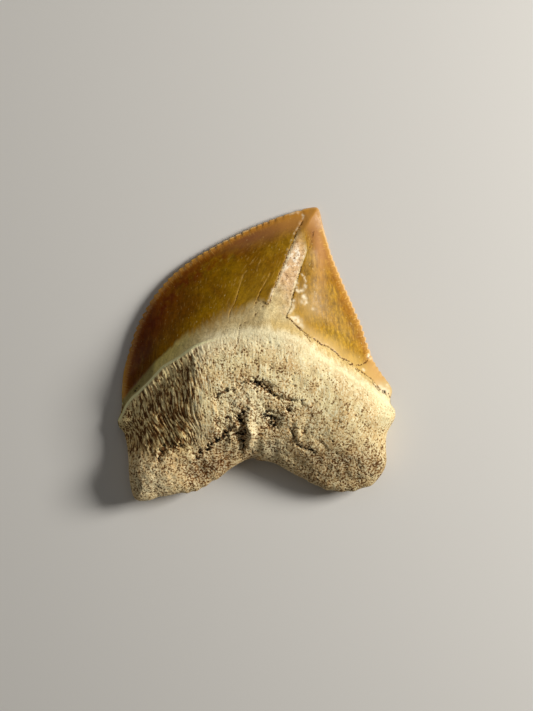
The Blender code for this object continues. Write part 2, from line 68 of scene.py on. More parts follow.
# Borders on the upper face, each from the mesial to the distal side
rimLine = [
    (-12.9, -6.1), (-12.6, -5.5), (-12.3, -4.91), (-12.0, -4.49), (-11.58, -4.01), (-11.16, -3.68),
    (-10.8, -3.35), (-10.44, -2.99), (-10.02, -2.6), (-9.48, -2.01), (-8.89, -1.38), (-8.59, -1.11),
    (-7.87, -0.69), (-7.09, -0.23), (-6.31, 0.34), (-5.65, 0.75), (-4.74, 1.12), (-3.2, 1.52),
    (-1.28, 1.95), (0.25, 2.06), (1.6, 1.86), (3.13, 1.5), (4.4, 0.92), (5.5, 0.06), (6.85, -0.9),
    (8.2, -1.7), (10.05, -2.94), (11.62, -4.0), (12.55, -4.75),
]
enamelMesialBase = [
    (-12.6, -4.6), (-11.82, -3.55), (-10.66, -2.3), (-9.71, -1.25), (-8.37, 0.23), (-7.41, 1.17),
    (-6.26, 1.93), (-4.74, 2.7), (-3.24, 3.47), (-1.27, 4.46), (0.3, 4.85), (1.05, 4.52),
]
enamelDistalBase = [
    (2.8, 3.3), (3.14, 3.14), (4.01, 2.27), (4.82, 1.62), (5.64, 1.15), (6.0, 0.8), (6.59, 0.66),
    (7.06, 0.33), (7.53, -0.06), (7.89, -0.42), (8.76, -0.83), (9.38, -1.42), (9.81, -1.7), (10.18, -2.01),
    (10.75, -2.37), (11.24, -2.99), (11.61, -3.4), (12.6, -4.15),
]
stripMesialSide = [
    (4.5, 12.75), (4.33, 12.36), (4.0, 11.69), (3.66, 10.98), (3.26, 9.98), (2.58, 8.31), (2.11, 7.18),
    (1.64, 5.87), (1.27, 4.74), (0.95, 4.45),
]
stripDistalSide = [
    (4.5, 12.75), (4.42, 12.05), (4.55, 11.4), (4.62, 10.7), (4.72, 10.05), (4.72, 9.43), (4.27, 8.21),
    (3.9, 6.99), (3.61, 6.05), (3.33, 4.93), (3.24, 4.36), (2.95, 3.75), (2.8, 3.3),
]
shieldLine = [
    (-11.2, -10.6), (-9.06, -9.81), (-8.87, -9.25), (-8.49, -8.78), (-7.56, -8.49), (-6.05, -8.49),
    (-4.6, -8.0), (-3.61, -7.0), (-3.61, -5.6), (-3.8, -4.18), (-3.24, -3.52), (-2.21, -3.14),
    (-1.27, -2.68), (-0.14, -2.68), (0.52, -2.77), (1.08, -3.05), (1.64, -3.61), (2.96, -3.99),
    (4.27, -4.46), (5.4, -5.58), (5.96, -6.34), (6.3, -8.2), (8.2, -9.6), (11.6, -10.0),
]
labialNeck = [
    (-12.6, -4.6), (-9.0, -4.1), (-4.5, -3.1), (0.2, -2.3), (5.0, -2.9), (9.0, -3.7),
    (12.6, -4.3),
]

toothShape = {
    "crownEdgeHeight": 0.55,  # of the cutting edges above the surface that the tooth lies on
    "rootEdgeHeight": 1.7,
    "crownEdgeSlope": 0.8,
    "apexFlatness": 0.38,  # taken from that slope at the apex
    "rootSideWidth": 6.5,
    "rootSideRoundness": 2.3,
    "mesialSlant": 1.05,  # taken from the roundness where the root slopes to the mesial side
    "mesialTerrace": 0.42,
    "rootThickness": 4.15,
    "thickestY": -2.8,
    "rootFall": (0.006, 0.020),  # how fast the root thins from there, across and along
    "thinnestRoot": 1.5,
    "apexThickness": 1.2,
    "apexY": 13.8,
    "crownTaper": 0.44,
    "crownBevelWidth": 3.0,
    "rootUndersideWidth": 1.5,
    "crestHeight": 0.14,
    "crestWidth": 0.9,
    "crestX": 5.85,
    "enamelStep": 0.17,
    "distalStep": 0.045,
    "enamelFade": 1.1,
    "rimHeight": 0.11,
    "rimWidth": 0.24,
    "bandDepth": 0.16,
    "bandWidth": 0.5,
    "shieldStep": 0.14,
    "neckStep": 0.45,
    "furrowDepth": 0.4,
    "furrowWidth": 1.2,
    "foramenDepth": 0.45,
    "foramenRadius": 0.45,
    "rootGrid": 0.082,  # spacing of the mesh on the root, where the relief is fine
    "crownGrid": 0.125,
    "lowerGrid": 0.19,
    "rootStep": 0.085,
    "edgeStep": 0.055,
    "rootRings": (0.004, 0.02, 0.05, 0.1, 0.17),  # rows of vertices this far in from the outline
    "crownRings": (0.04, 0.09, 0.15, 0.22, 0.31),
}

# Lumps and hollows of the root: place, half width, half length, height, and tilt from Y in degrees
rootLumps = [
    ((-0.4, -10.2), 3.2, 2.2, -0.25, 0.0),  # the root thins towards its notch
    ((-0.62, -7.4), 0.42, 2.05, 0.48, 3.0),  # median ridge
    ((-1.48, -7.4), 0.34, 1.2, -0.34, 4.0),  # hollow beside it
    ((-1.9, -6.67), 0.24, 0.34, 0.3, -12.0),
    ((-2.43, -7.95), 0.28, 0.32, 0.28, 0.0),
    ((-0.95, -9.2), 0.22, 0.6, 0.2, 20.0),
    ((1.35, -6.0), 0.75, 0.75, -0.3, 0.0),  # nutrient hollow
    ((3.9, -7.35), 0.42, 0.85, 0.16, 4.0),  # oval boss
    ((4.35, -7.2), 0.25, 0.4, -0.12, 0.0),
    ((4.75, -9.05), 0.3, 0.8, -0.12, 58.0),
    ((-3.3, -8.6), 0.4, 1.5, -0.25, -52.0),
    ((-2.7, -10.1), 0.9, 1.0, -0.25, -20.0),
    ((0.75, -9.1), 0.35, 0.8, 0.2, 10.0),
    ((2.45, -9.8), 0.35, 0.85, 0.18, 35.0),
    ((1.05, -3.05), 0.5, 0.3, -0.2, -20.0),  # pit under the shield
    ((-5.4, -11.2), 1.6, 1.1, -0.42, 0.0),
    ((-10.2, -7.2), 1.1, 1.6, 0.2, 0.0),
    ((-10.6, -12.0), 2.4, 1.7, 0.5, 0.0),  # mesial lobe
    ((7.6, -9.9), 1.6, 1.2, -0.3, 0.0),
    ((8.6, -6.6), 1.4, 1.1, 0.2, 0.0),
    ((8.6, -12.2), 3.0, 1.4, -0.3, 0.0),
    ((12.5, -5.7), 0.6, 0.9, 0.35, 0.0),
    ((-12.5, -6.4), 0.6, 0.9, 0.14, 0.0),
]

# Crevices in the root, each a chain of pits: line, half width, depth
rootCrevices = [
    ([(-3.8, -4.18), (-3.52, -3.9), (-3.24, -3.52), (-2.68, -3.33), (-2.21, -3.14), (-1.74, -2.86),
      (-1.27, -2.68), (-0.61, -2.58), (-0.14, -2.68)], 0.15, 0.2),
    ([(-0.2, -2.72), (0.35, -2.95), (0.8, -3.15), (1.15, -3.42)], 0.3, 0.42),
    ([(1.15, -3.42), (1.55, -3.75), (2.1, -4.05)], 0.14, 0.22),
    ([(2.45, -3.95), (2.75, -4.12), (3.05, -4.3), (3.6, -4.32), (4.25, -4.38)], 0.14, 0.16),
    ([(-0.9, -5.0), (-1.2, -5.45), (-1.6, -5.85), (-2.1, -6.15), (-2.55, -6.2)], 0.22, 0.28),
    ([(-2.75, -7.0), (-3.0, -7.4), (-3.33, -7.8), (-4.0, -8.3), (-4.6, -8.85), (-5.0, -9.3),
      (-5.4, -9.7)], 0.27, 0.34),
    ([(-3.61, -6.24), (-3.43, -6.62), (-3.05, -7.18), (-2.75, -7.6)], 0.16, 0.2),
    ([(-1.55, -5.95), (-1.3, -6.35), (-1.15, -6.9), (-1.12, -7.5), (-1.12, -8.1), (-1.2, -8.6)], 0.22, 0.36),
    ([(-1.5, -7.3), (-1.85, -7.4), (-2.24, -7.35)], 0.15, 0.24),
    ([(-1.45, -7.9), (-1.35, -8.5), (-1.5, -9.1)], 0.22, 0.18),
    ([(-0.75, -8.68), (-0.48, -8.82), (-0.4, -9.15), (-0.42, -9.4)], 0.09, 0.16),
    ([(-9.06, -9.81), (-8.87, -9.25), (-8.49, -8.78), (-8.12, -8.68), (-7.56, -8.49), (-6.81, -8.49)],
     0.17, 0.24),
    ([(-8.85, -9.1), (-8.5, -8.7), (-8.0, -8.45)], 0.25, 0.3),
    ([(3.22, -7.0), (3.36, -7.6), (3.62, -8.15), (4.15, -8.62), (4.8, -8.98), (5.4, -9.2)], 0.15, 0.22),
    ([(4.25, -7.05), (4.35, -7.35)], 0.14, 0.14),
    ([(0.9, -5.6), (1.35, -6.0), (1.75, -6.45)], 0.45, 0.3),
    ([(2.85, -5.0), (3.05, -5.2)], 0.25, 0.22),
    ([(3.1, -2.2), (3.35, -2.6)], 0.1, 0.12),
]

# Cracks in the enamel and band: line, half width, depth, darkness
enamelCracks = [
    (stripMesialSide[1:], 0.08, 0.08, 1.0),
    (stripDistalSide[5:], 0.065, 0.03, 0.85),
    (enamelDistalBase, 0.08, 0.05, 1.0),
    (enamelDistalBase[1:], 0.06, 0.03, 0.8),
    ([(4.08, 2.11), (4.65, 1.55), (5.21, 0.8)], 0.05, 0.05, 0.8),
    ([(7.53, -0.1), (8.14, -0.66), (8.76, -1.02), (9.38, -1.52), (9.9, -1.88)], 0.06, 0.06, 1.0),
    ([(10.75, -2.6), (11.1, -3.05), (11.5, -3.55)], 0.08, 0.06, 0.8),
    ([(10.55, -0.35), (10.37, -0.7), (10.06, -0.99), (9.69, -1.1), (9.3, -1.1)], 0.08, 0.04, 0.9),
    ([(10.5, -0.45), (10.3, -0.78), (10.0, -1.02), (9.6, -1.11)], 0.06, 0.02, 0.8),
    ([(5.36, 11.4), (5.25, 10.8), (5.1, 10.18), (4.88, 9.65)], 0.055, 0.02, 0.7),
    (stripMesialSide[1:6], 0.07, 0.05, 1.0),
    (stripMesialSide[1:5], 0.06, 0.05, 1.0),
    ([(1.15, 4.6), (0.62, 4.32), (0.42, 3.92), (0.05, 3.68), (-0.33, 3.24), (-0.8, 2.96), (-1.27, 2.68)],
     0.065, 0.05, 0.6),
    ([(0.74, 6.45), (0.33, 5.61), (0.2, 5.02), (-0.17, 4.13)], 0.035, 0.03, 0.55),
    ([(-1.45, 2.68), (-1.64, 1.55), (-1.69, 0.8)], 0.05, 0.04, 0.7),
    ([(3.01, 2.39), (3.14, 1.36)], 0.05, 0.04, 0.7),
]
enamelHairlines = [
    ([(-0.89, 7.65), (-1.17, 7.27), (-1.55, 6.05), (-1.92, 4.74), (-2.39, 3.8),
      (-2.52, 2.86)], 0.04, 0.03, 0.8),
    ([(1.27, 7.37), (0.7, 6.24), (0.23, 5.3), (-0.23, 4.18)], 0.04, 0.03, 0.8),
    ([(0.42, 8.68), (0.14, 7.74)], 0.035, 0.01, 0.5),
]
enamelChips = [
    ([(4.16, 7.38), (4.44, 7.15), (4.62, 6.74), (4.56, 6.3)], 0.055, 0.03, 0.7),
    ([(4.56, 6.3), (4.42, 5.92), (4.08, 5.72), (3.84, 5.85)], 0.13, 0.05, 1.0),
    ([(3.72, 6.66), (3.7, 6.22)], 0.14, 0.03, 1.0),
    ([(4.46, 5.26), (4.58, 4.95), (4.58, 4.66)], 0.18, 0.05, 1.0),
    ([(4.14, 4.86), (4.3, 4.62)], 0.14, 0.02, 0.5),
    ([(5.26, 4.12), (5.26, 4.02)], 0.09, 0.02, 0.8),
    ([(3.2, 13.12), (3.7, 13.28), (3.95, 13.22)], 0.09, 0.02, 0.9),
    ([(4.28, 13.08), (4.44, 12.88), (4.36, 12.6)], 0.075, 0.02, 0.8),
    ([(4.16, 12.4), (3.84, 11.75), (3.5, 11.05), (3.1, 10.05), (2.75, 9.2)], 0.045, 0.0, 0.5),
    ([(10.62, -0.12), (10.58, -0.34), (10.72, -0.48)], 0.13, 0.03, 1.0),
    ([(1.66, 6.05), (1.4, 5.45), (1.04, 4.66)], 0.08, 0.02, 0.7),
    ([(3.44, 4.8), (3.32, 4.2), (3.12, 3.62), (3.42, 3.2), (3.8, 2.88), (4.3, 2.38)], 0.2, 0.02, 0.85),
    ([(3.55, 3.25), (4.0, 2.95)], 0.26, 0.03, 1.0),
    ([(11.35, -2.95), (11.8, -3.32), (12.2, -3.65)], 0.3, 0.02, 0.8),
    ([(12.3, -3.0), (12.42, -3.45)], 0.12, 0.0, 0.6),
    ([(9.95, -1.5), (10.1, -1.62)], 0.1, 0.02, 1.0),
]  # line, half width, depth, paleness (the chip's pale colour with a painted glint)
neckPits = [
    ((11.92, -3.59), 0.3, 0.24), ((12.41, -3.78), 0.12, 0.1), ((-10.91, -3.08), 0.15, 0.14),
    ((-11.13, -3.27), 0.13, 0.12), ((-11.28, -3.52), 0.14, 0.12), ((-9.62, -1.7), 0.1, 0.05),
]
rootStainsAndShadow = [
    ((-4.1, -7.2), 0.7, 0.6, 0.6), ((-4.6, -10.2), 1.6, 1.0, 0.75), ((-2.9, -10.3), 0.8, 0.6, 0.9),
    ((-5.2, -11.4), 1.4, 0.9, 0.85), ((-0.2, -9.85), 0.5, 0.45, 0.95), ((1.6, -6.2), 0.9, 0.6, 0.6),
    ((5.6, -9.6), 2.0, 0.7, 0.6), ((8.6, -9.7), 1.6, 1.0, 0.5), ((5.2, -6.4), 0.8, 1.6, 0.3),
    ((7.4, -11.2), 2.4, 1.2, 0.45), ((-2.8, -8.8), 1.1, 0.7, 0.7),
    # the first spot below is painted shadow, the dark wedge beside the median ridge; the others are stains
    ((-1.12, -7.6), 0.3, 1.2, 0.8), ((10.9, -10.4), 1.2, 1.4, 0.55),
]
# pale root top, painted light, and a painted highlight on the median ridge
paleSpotsAndPaintedLight = {
    "lip": [((-9.8, -12.2), 2.2, 1.5, 0.5), ((1.5, -8.8), 1.1, 0.9, 0.6)],
    "top": [((-0.2, -7.6), 0.5, 2.4, 0.7), ((-1.0, -4.0), 1.6, 1.1, 0.5)],
}
labialForamina = [(-6.2, -6.7), (-2.6, -6.1), (0.3, -7.2), (3.2, -5.9), (6.8, -6.6)]

def lineRun(line):
    return np.concatenate([[0], np.cumsum(np.hypot(*np.diff(line, axis=0).T))])

def smoothLine(points, step):
    # Catmull-Rom through the points, then even steps
    p = np.array(points, float)
    p = np.vstack([2 * p[0] - p[1], p, 2 * p[-1] - p[-2]])
    t = np.linspace(0, 1, 32, endpoint=False)[:, None]
    curve = []
    for a, b, c, d in zip(p, p[1:], p[2:], p[3:]):
        bend = 2 * a - 5 * b + 4 * c - d
        twist = 3 * b - a - 3 * c + d
        curve.append(b + 0.5 * ((c - a) * t + bend * t**2 + twist * t**3))
    curve = np.vstack(curve + [p[-2:-1]])
    run = lineRun(curve)
    stops = np.linspace(0, run[-1], max(2, round(run[-1] / step) + 1))
    return np.column_stack([np.interp(stops, run, curve[:, k]) for k in (0, 1)])

def leftOf(line):
    along = np.gradient(line, axis=0)
    along /= np.hypot(*along.T)[:, None]
    return np.column_stack([-along[:, 1], along[:, 0]])

def ease(value, start, end):
    t = np.clip((value - start) / (end - start), 0, 1)
    return t * t * (3 - 2 * t)

def bell(distance, width):
    return np.exp(-((distance / width) ** 2))

def softNoise(x, y, size, seed):
    # value noise from -1 to 1, on a small repeating table
    table = np.random.default_rng(seed).random((64, 64)) * 2 - 1
    u, v = x / size + 256.5, y / size + 256.5
    i, j = np.floor(u).astype(int), np.floor(v).astype(int)
    fu, fv = ease(u - i, 0, 1), ease(v - j, 0, 1)
    low = table[i % 64, j % 64] * (1 - fu) + table[(i + 1) % 64, j % 64] * fu
    high = table[i % 64, (j + 1) % 64] * (1 - fu) + table[(i + 1) % 64, (j + 1) % 64] * fu
    return low * (1 - fv) + high * fv

# Layers of noise: strength, size and seed
unevenness = {
    "enamel": [(0.02, 1.9, 3)],
    "flakes": [(0.045, 0.42, 5), (0.03, 0.17, 6)],
    "warpX": [(0.16, 0.9, 8), (0.07, 0.35, 9)],
    "warpY": [(0.16, 0.9, 10), (0.07, 0.35, 11)],
    "root": [(0.06, 1.1, 12), (0.035, 0.5, 13)],
    "shield": [(0.05, 0.4, 14)],
    "fibres": [(0.05, 2.2, 15)],
    "pores": [(0.5, 1.3, 16)],
    "chipSides": [(0.05, 0.15, 17)],
    "denticles": [(0.12, 1.7, 18)],
    "chips": [(0.9, 0.2, 7)],
    "pits": [(1.0, 0.21, 60), (0.5, 0.12, 61)],
}

def uneven(x, y, name):
    return sum(strength * softNoise(x, y, size, seed) for strength, size, seed in unevenness[name])

def nearestOn(places, line):
    # distance to the line, side (1 on its left) and run along the line
    start, span = line[:-1], np.diff(line, axis=0)
    spanSquare = (span**2).sum(1)
    run = lineRun(line)
    gap, side, along = np.empty(len(places)), np.empty(len(places)), np.empty(len(places))
    for first in range(0, len(places), 4000):
        part = slice(first, first + 4000)
        offset = places[part, None] - start[None]
        share = np.clip((offset * span).sum(2) / spanSquare, 0, 1)
        miss = offset - share[..., None] * span
        size = np.hypot(miss[..., 0], miss[..., 1])
        best = size.argmin(1)
        rows = np.arange(len(best))
        turn = span[best, 0] * offset[rows, best, 1] - span[best, 1] * offset[rows, best, 0]
        gap[part] = size[rows, best]
        side[part] = np.where(turn >= 0, 1.0, -1.0)
        along[part] = run[best] + share[rows, best] * np.sqrt(spanSquare[best])
    return gap, side, along

def insideLoop(places, loop):
    found = np.zeros(len(places), bool)
    ax, ay = loop[:, 0], loop[:, 1]
    bx, by = np.roll(ax, -1), np.roll(ay, -1)
    rise = np.where(by == ay, 1e-9, by - ay)
    for first in range(0, len(places), 8000):
        x, y = places[first:first + 8000, :1], places[first:first + 8000, 1:]
        crossing = ((ay > y) != (by > y)) & (x < (bx - ax) * (y - ay) / rise + ax)
        found[first:first + 8000] = crossing.sum(1) % 2 == 1
    return found

def blade(distance, slope, thickness):
    rise = slope * distance
    return rise / np.sqrt(1 + (rise / thickness) ** 2)

def rounded(distance, width, height, roundness):
    share = 1 - np.clip(distance / width, 0, 1)
    return height * (1 - share**roundness) ** (1 / roundness)

# Outline with even steps; the cutting edges stay smooth here, the denticle tree cuts them
shape = toothShape
outlineParts = [smoothLine(rootBase, shape["rootStep"])]
outlineParts += [smoothLine(points, shape["edgeStep"]) for points in (distalEdge, apexEdge, mesialEdge)]
outline = np.vstack([part[:-1] for part in outlineParts])
closedOutline = np.vstack([outline, outline[:1]])
outlineMiddle = (outline.min(0) + outline.max(0)) / 2
crownOutline = np.vstack([outlineParts[1][:-1], outlineParts[2][:-1], outlineParts[3]])

meshPlan = {
    "gridReach": (13.4, 14.2),
    "rimMargin": 0.4,  # how far above the rim the fine grid goes
    "upperRingSteps": (0.09, 0.06),  # on the root and on the crown
    "lowerRingSteps": (0.12, 0.1),
    "crackRows": (0.0, 0.045, -0.045, 0.12, -0.12),
    "crackStep": 0.085,
    "neckRows": (0.12, -0.02, -0.15),
    "neckStep": 0.15,
    "hollowGrid": 0.1,
    "hollowReach": 0.8,
    # least distance from the vertices already there
    "upperGaps": {"cracks": 0.035, "fine": 0.055, "coarse": 0.075},
    "lowerGaps": {"neck": 0.08, "hollows": 0.07, "coarse": 0.12},
}

def hexGrid(spacing):
    width, height = meshPlan["gridReach"]
    rows = []
    for row, y in enumerate(np.arange(-height, height, spacing * math.sqrt(0.75))):
        x = np.arange(-width, width, spacing) + (spacing / 2 if row % 2 else 0)
        rows.append(np.column_stack([x, np.full_like(x, y)]))
    return np.vstack(rows)

def ringPlaces(rootStep, crownStep):
    found = []
    sides = [(outlineParts[0], shape["rootRings"], rootStep)]
    sides.append((crownOutline, shape["crownRings"], crownStep))
    for line, rings, step in sides:
        for number, depth in enumerate(rings):
            even = smoothLine(line, step * (1 + 0.12 * number))
            ring = even + leftOf(even) * depth
            gap, _, _ = nearestOn(ring, closedOutline)
            found.append(ring[(gap > 0.75 * depth) & insideLoop(ring, outline)])
    return np.vstack(found)

def besideLines(lines, offsets, step):
    found = []
    for points in lines:
        even = smoothLine(points, step)
        found += [even + offset * leftOf(even) for offset in offsets]
    return np.vstack(found)

def keepApart(places, kept, spacing):
    # drops the places nearer than spacing to a kept one, by looking in a grid of cells
    cells = {}
    for x, y in kept:
        cells.setdefault((int(x // spacing), int(y // spacing)), []).append((x, y))
    good = []
    for x, y in places:
        i, j = int(x // spacing), int(y // spacing)
        near = (p for a in (i - 1, i, i + 1) for b in (j - 1, j, j + 1) for p in cells.get((a, b), ()))
        if all((x - px) ** 2 + (y - py) ** 2 > spacing**2 for px, py in near):
            good.append((x, y))
    return np.array(good).reshape(-1, 2)

def faceMesh(wanted):
    # triangles of one face; none has all its corners on the outline, so the two faces never coincide
    while True:
        made = delaunay_2d_cdt([Vector(p) for p in wanted], [], [list(range(len(outline)))], 1, 1e-6)
        places, faces = np.array([tuple(v) for v in made[0]]), np.array([list(f) for f in made[2]])
        flaps = faces[faces.max(1) < len(outline)]
        if not len(flaps):
            return places, faces
        wanted = np.vstack([places, places[flaps].mean(1)])

def addRows(wanted, rows, gaps):
    # rows of places inside the outline, each kept clear of what is already there
    for name, places in rows.items():
        places = places[insideLoop(places, outline)]
        wanted = np.vstack([wanted, keepApart(places, wanted, gaps[name])])
    return wanted

def upperPlaces():
    rings = ringPlaces(*meshPlan["upperRingSteps"])
    lines = [crack[0] for crack in enamelCracks + enamelHairlines]
    cracks = besideLines(lines, meshPlan["crackRows"], meshPlan["crackStep"])
    coarse, fine = hexGrid(shape["crownGrid"]), hexGrid(shape["rootGrid"])
    rim = smoothLine(rimLine, 0.3)
    gap, side, _ = nearestOn(coarse, rim)
    coarse = coarse[gap * side > meshPlan["rimMargin"]]
    gap, side, _ = nearestOn(fine, rim)
    fine = fine[gap * side <= meshPlan["rimMargin"]]
    rows = {"cracks": cracks, "fine": fine, "coarse": coarse}
    return addRows(np.vstack([outline, rings]), rows, meshPlan["upperGaps"])

def lowerPlaces():
    neck = besideLines([labialNeck], meshPlan["neckRows"], meshPlan["neckStep"])
    hollows = hexGrid(meshPlan["hollowGrid"])
    near = np.min([np.hypot(hollows[:, 0] - x, hollows[:, 1] - y) for x, y in labialForamina], axis=0)
    hollows = hollows[near < meshPlan["hollowReach"]]
    rows = {"neck": neck, "hollows": hollows, "coarse": hexGrid(shape["lowerGrid"])}
    rings = ringPlaces(*meshPlan["lowerRingSteps"])
    return addRows(np.vstack([outline, rings]), rows, meshPlan["lowerGaps"])

class Zone:
    # distances from the tooth's lines at a set of places

    def __init__(self, places):
        self.places = places
        self.x, self.y = places.T
        self.edge, _, _ = nearestOn(places, closedOutline)
        self.edge[: len(outline)] = 0
        gap, side, _ = nearestOn(places, smoothLine(rimLine, 0.2))
        self.aboveRim = gap * side
        self.root = ease(-self.aboveRim, -1.6, 1.6)
        rising = ease(-self.aboveRim, -3.2, 2.4)
        low, high = shape["crownEdgeHeight"], shape["rootEdgeHeight"]
        self.edgeHeight = low + (high - low) * rising

def stripAndEnamel(zone):
    # signed gaps: into the strip where enamel is missing, and up from the enamel's two base lines
    mesial, distal = smoothLine(stripMesialSide, 0.1), smoothLine(stripDistalSide, 0.1)
    base = smoothLine(enamelMesialBase, 0.2)
    distalBase = smoothLine(enamelDistalBase, 0.1)
    stripLoop = np.vstack([mesial[::-1], distal[1:], [(1.8, 3.0)]])
    lowerLoop = np.vstack([base, distalBase, [(16, -6), (16, -20), (-16, -20), (-16, -6)]])
    stripGap, _, _ = nearestOn(zone.places, np.vstack([mesial[::-1], distal[1:]]))
    inStrip = insideLoop(zone.places, stripLoop)
    below = insideLoop(zone.places, lowerLoop)
    baseGap, _, _ = nearestOn(zone.places, base)
    distalGap, _, _ = nearestOn(zone.places, distalBase)
    zone.strip = np.where(inStrip, stripGap, -stripGap)
    zone.aboveBase = baseGap * np.where(below, -1, 1)
    zone.aboveDistalBase = distalGap * np.where(below, -1, 1)
    zone.mesial = ease(-zone.x, -1.4, 0.6)

def lineMarks(zone, lines, seed):
    # the deepest of several broken lines at each place, and its darkness
    depth, shade = np.zeros_like(zone.x), np.zeros_like(zone.x)
    for number, (points, width, dig, dark) in enumerate(lines):
        line = smoothLine(points, 0.08)
        gap, _, _ = nearestOn(zone.places, line)
        wobble = 0.03 * softNoise(zone.x, zone.y, 0.22, seed + number)
        broken = np.clip(0.65 + 0.75 * softNoise(zone.x, zone.y, 0.24, seed + 40 + number), 0.1, 1)
        mark = bell(gap + wobble, width) * broken
        depth = np.maximum(depth, dig * bell(gap + wobble, width * 1.3) * broken)
        shade = np.maximum(shade, dark * mark)
    return depth, shade

def damage(zone):
    # what chips, cracks and hairlines take off, and the marks that colour them
    x, y = zone.x, zone.y
    height = np.zeros_like(x)
    zone.chip = np.zeros_like(x)
    chipped = np.clip(0.75 + uneven(x, y, "chips"), 0.2, 1.0)
    for points, halfWidth, dig, glintPaleness in enamelChips:
        gap, _, _ = nearestOn(zone.places, smoothLine(points, 0.08))
        chip = bell(gap + uneven(x, y, "chipSides"), halfWidth) * chipped
        height -= dig * chip
        zone.chip = np.maximum(zone.chip, glintPaleness * chip)
    cracks, zone.crack = lineMarks(zone, enamelCracks, 20)
    height -= cracks
    zone.hair = np.zeros_like(x)
    for number, (points, halfWidth, dig, dark) in enumerate(enamelHairlines):
        line = smoothLine(points, 0.08)
        gap, side, run = nearestOn(zone.places, line)
        opened = ease(run / lineRun(line)[-1], 0.1, 0.5)
        broken = np.clip(0.7 + 0.8 * softNoise(x, y, 0.3, 90 + number), 0.15, 1)
        height -= dig * bell(gap, halfWidth) * broken
        # the dark line along each hairline is painted shadow beside its pale edge
        zone.crack = np.maximum(zone.crack, dark * bell(gap, halfWidth) * opened * broken)
        zone.hair = np.maximum(zone.hair, bell(gap * side + 0.07 * opened, 0.045) * broken)
    return height

def rootRelief(zone, inner):
    # rim, band, shield, lumps and crevices of the root, along lines that wander a little
    x, y = zone.x, zone.y
    height = np.zeros_like(x)
    warpX, warpY = x + uneven(x, y, "warpX"), y + uneven(x, y, "warpY")
    warped = np.column_stack([warpX, warpY])
    gap, side, _ = nearestOn(warped, smoothLine(shieldLine, 0.2))
    belowShield = ease(-gap * side, -0.08, 0.22)
    belowRim = ease(-zone.aboveRim, 0.3, 1.2)
    sharp = ease(-x, 3.0, 6.0)
    strength = 0.35 + 0.65 * ease(-x, 1.5, 5.5)
    fromRim = zone.aboveRim + 0.14 * sharp
    rimWidth = shape["rimWidth"] * (1 - 0.45 * sharp) * np.where(fromRim < 0, 2.0, 1)
    height += shape["rimHeight"] * bell(fromRim, rimWidth) * strength * inner
    height -= shape["bandDepth"] * bell(zone.aboveRim - 0.85, shape["bandWidth"]) * inner
    height -= shape["shieldStep"] * belowShield * belowRim * inner * (1 - 0.7 * ease(x, 3.5, 5.5))
    for (cx, cy), halfWidth, halfLength, rise, tilt in rootLumps:
        angle = math.radians(tilt)
        across = (warpX - cx) * math.cos(angle) + (warpY - cy) * math.sin(angle)
        along = (warpY - cy) * math.cos(angle) - (warpX - cx) * math.sin(angle)
        height += rise * bell(across, halfWidth) * bell(along, halfLength) * inner
    terrace = ease(-warpX, 5.0, 6.8) * ease(y, -8.0, -5.5) * belowRim
    height -= shape["mesialTerrace"] * terrace
    zone.crevice, zone.gloom = np.zeros_like(x), np.zeros_like(x)
    pitted = ease(uneven(x, y, "pits"), -0.25, 0.35)
    for points, width, dig in rootCrevices:
        gap, _, _ = nearestOn(warped, smoothLine(points, 0.12))
        near = bell(gap, width)
        # painted shade: more dark specks in a wide band around each crevice
        zone.gloom = np.maximum(zone.gloom, bell(gap, 2.2 * width) * min(1, dig / 0.3))
        zone.crevice = np.maximum(zone.crevice, near * pitted * min(1, 0.35 + dig / 0.4))
        height -= dig * near * (0.25 + 0.75 * pitted) * inner
    for (cx, cy), radius, dig in neckPits:
        mark = 1 - ease(np.hypot(x - cx, y - cy), 0.4 * radius, radius)
        zone.crevice = np.maximum(zone.crevice, 0.72 * mark)
        height -= dig * mark
    height += uneven(x, y, "root") * belowRim * inner
    height += uneven(x, y, "shield") * belowShield * belowRim * inner
    zone.belowShield = belowShield * belowRim
    return height

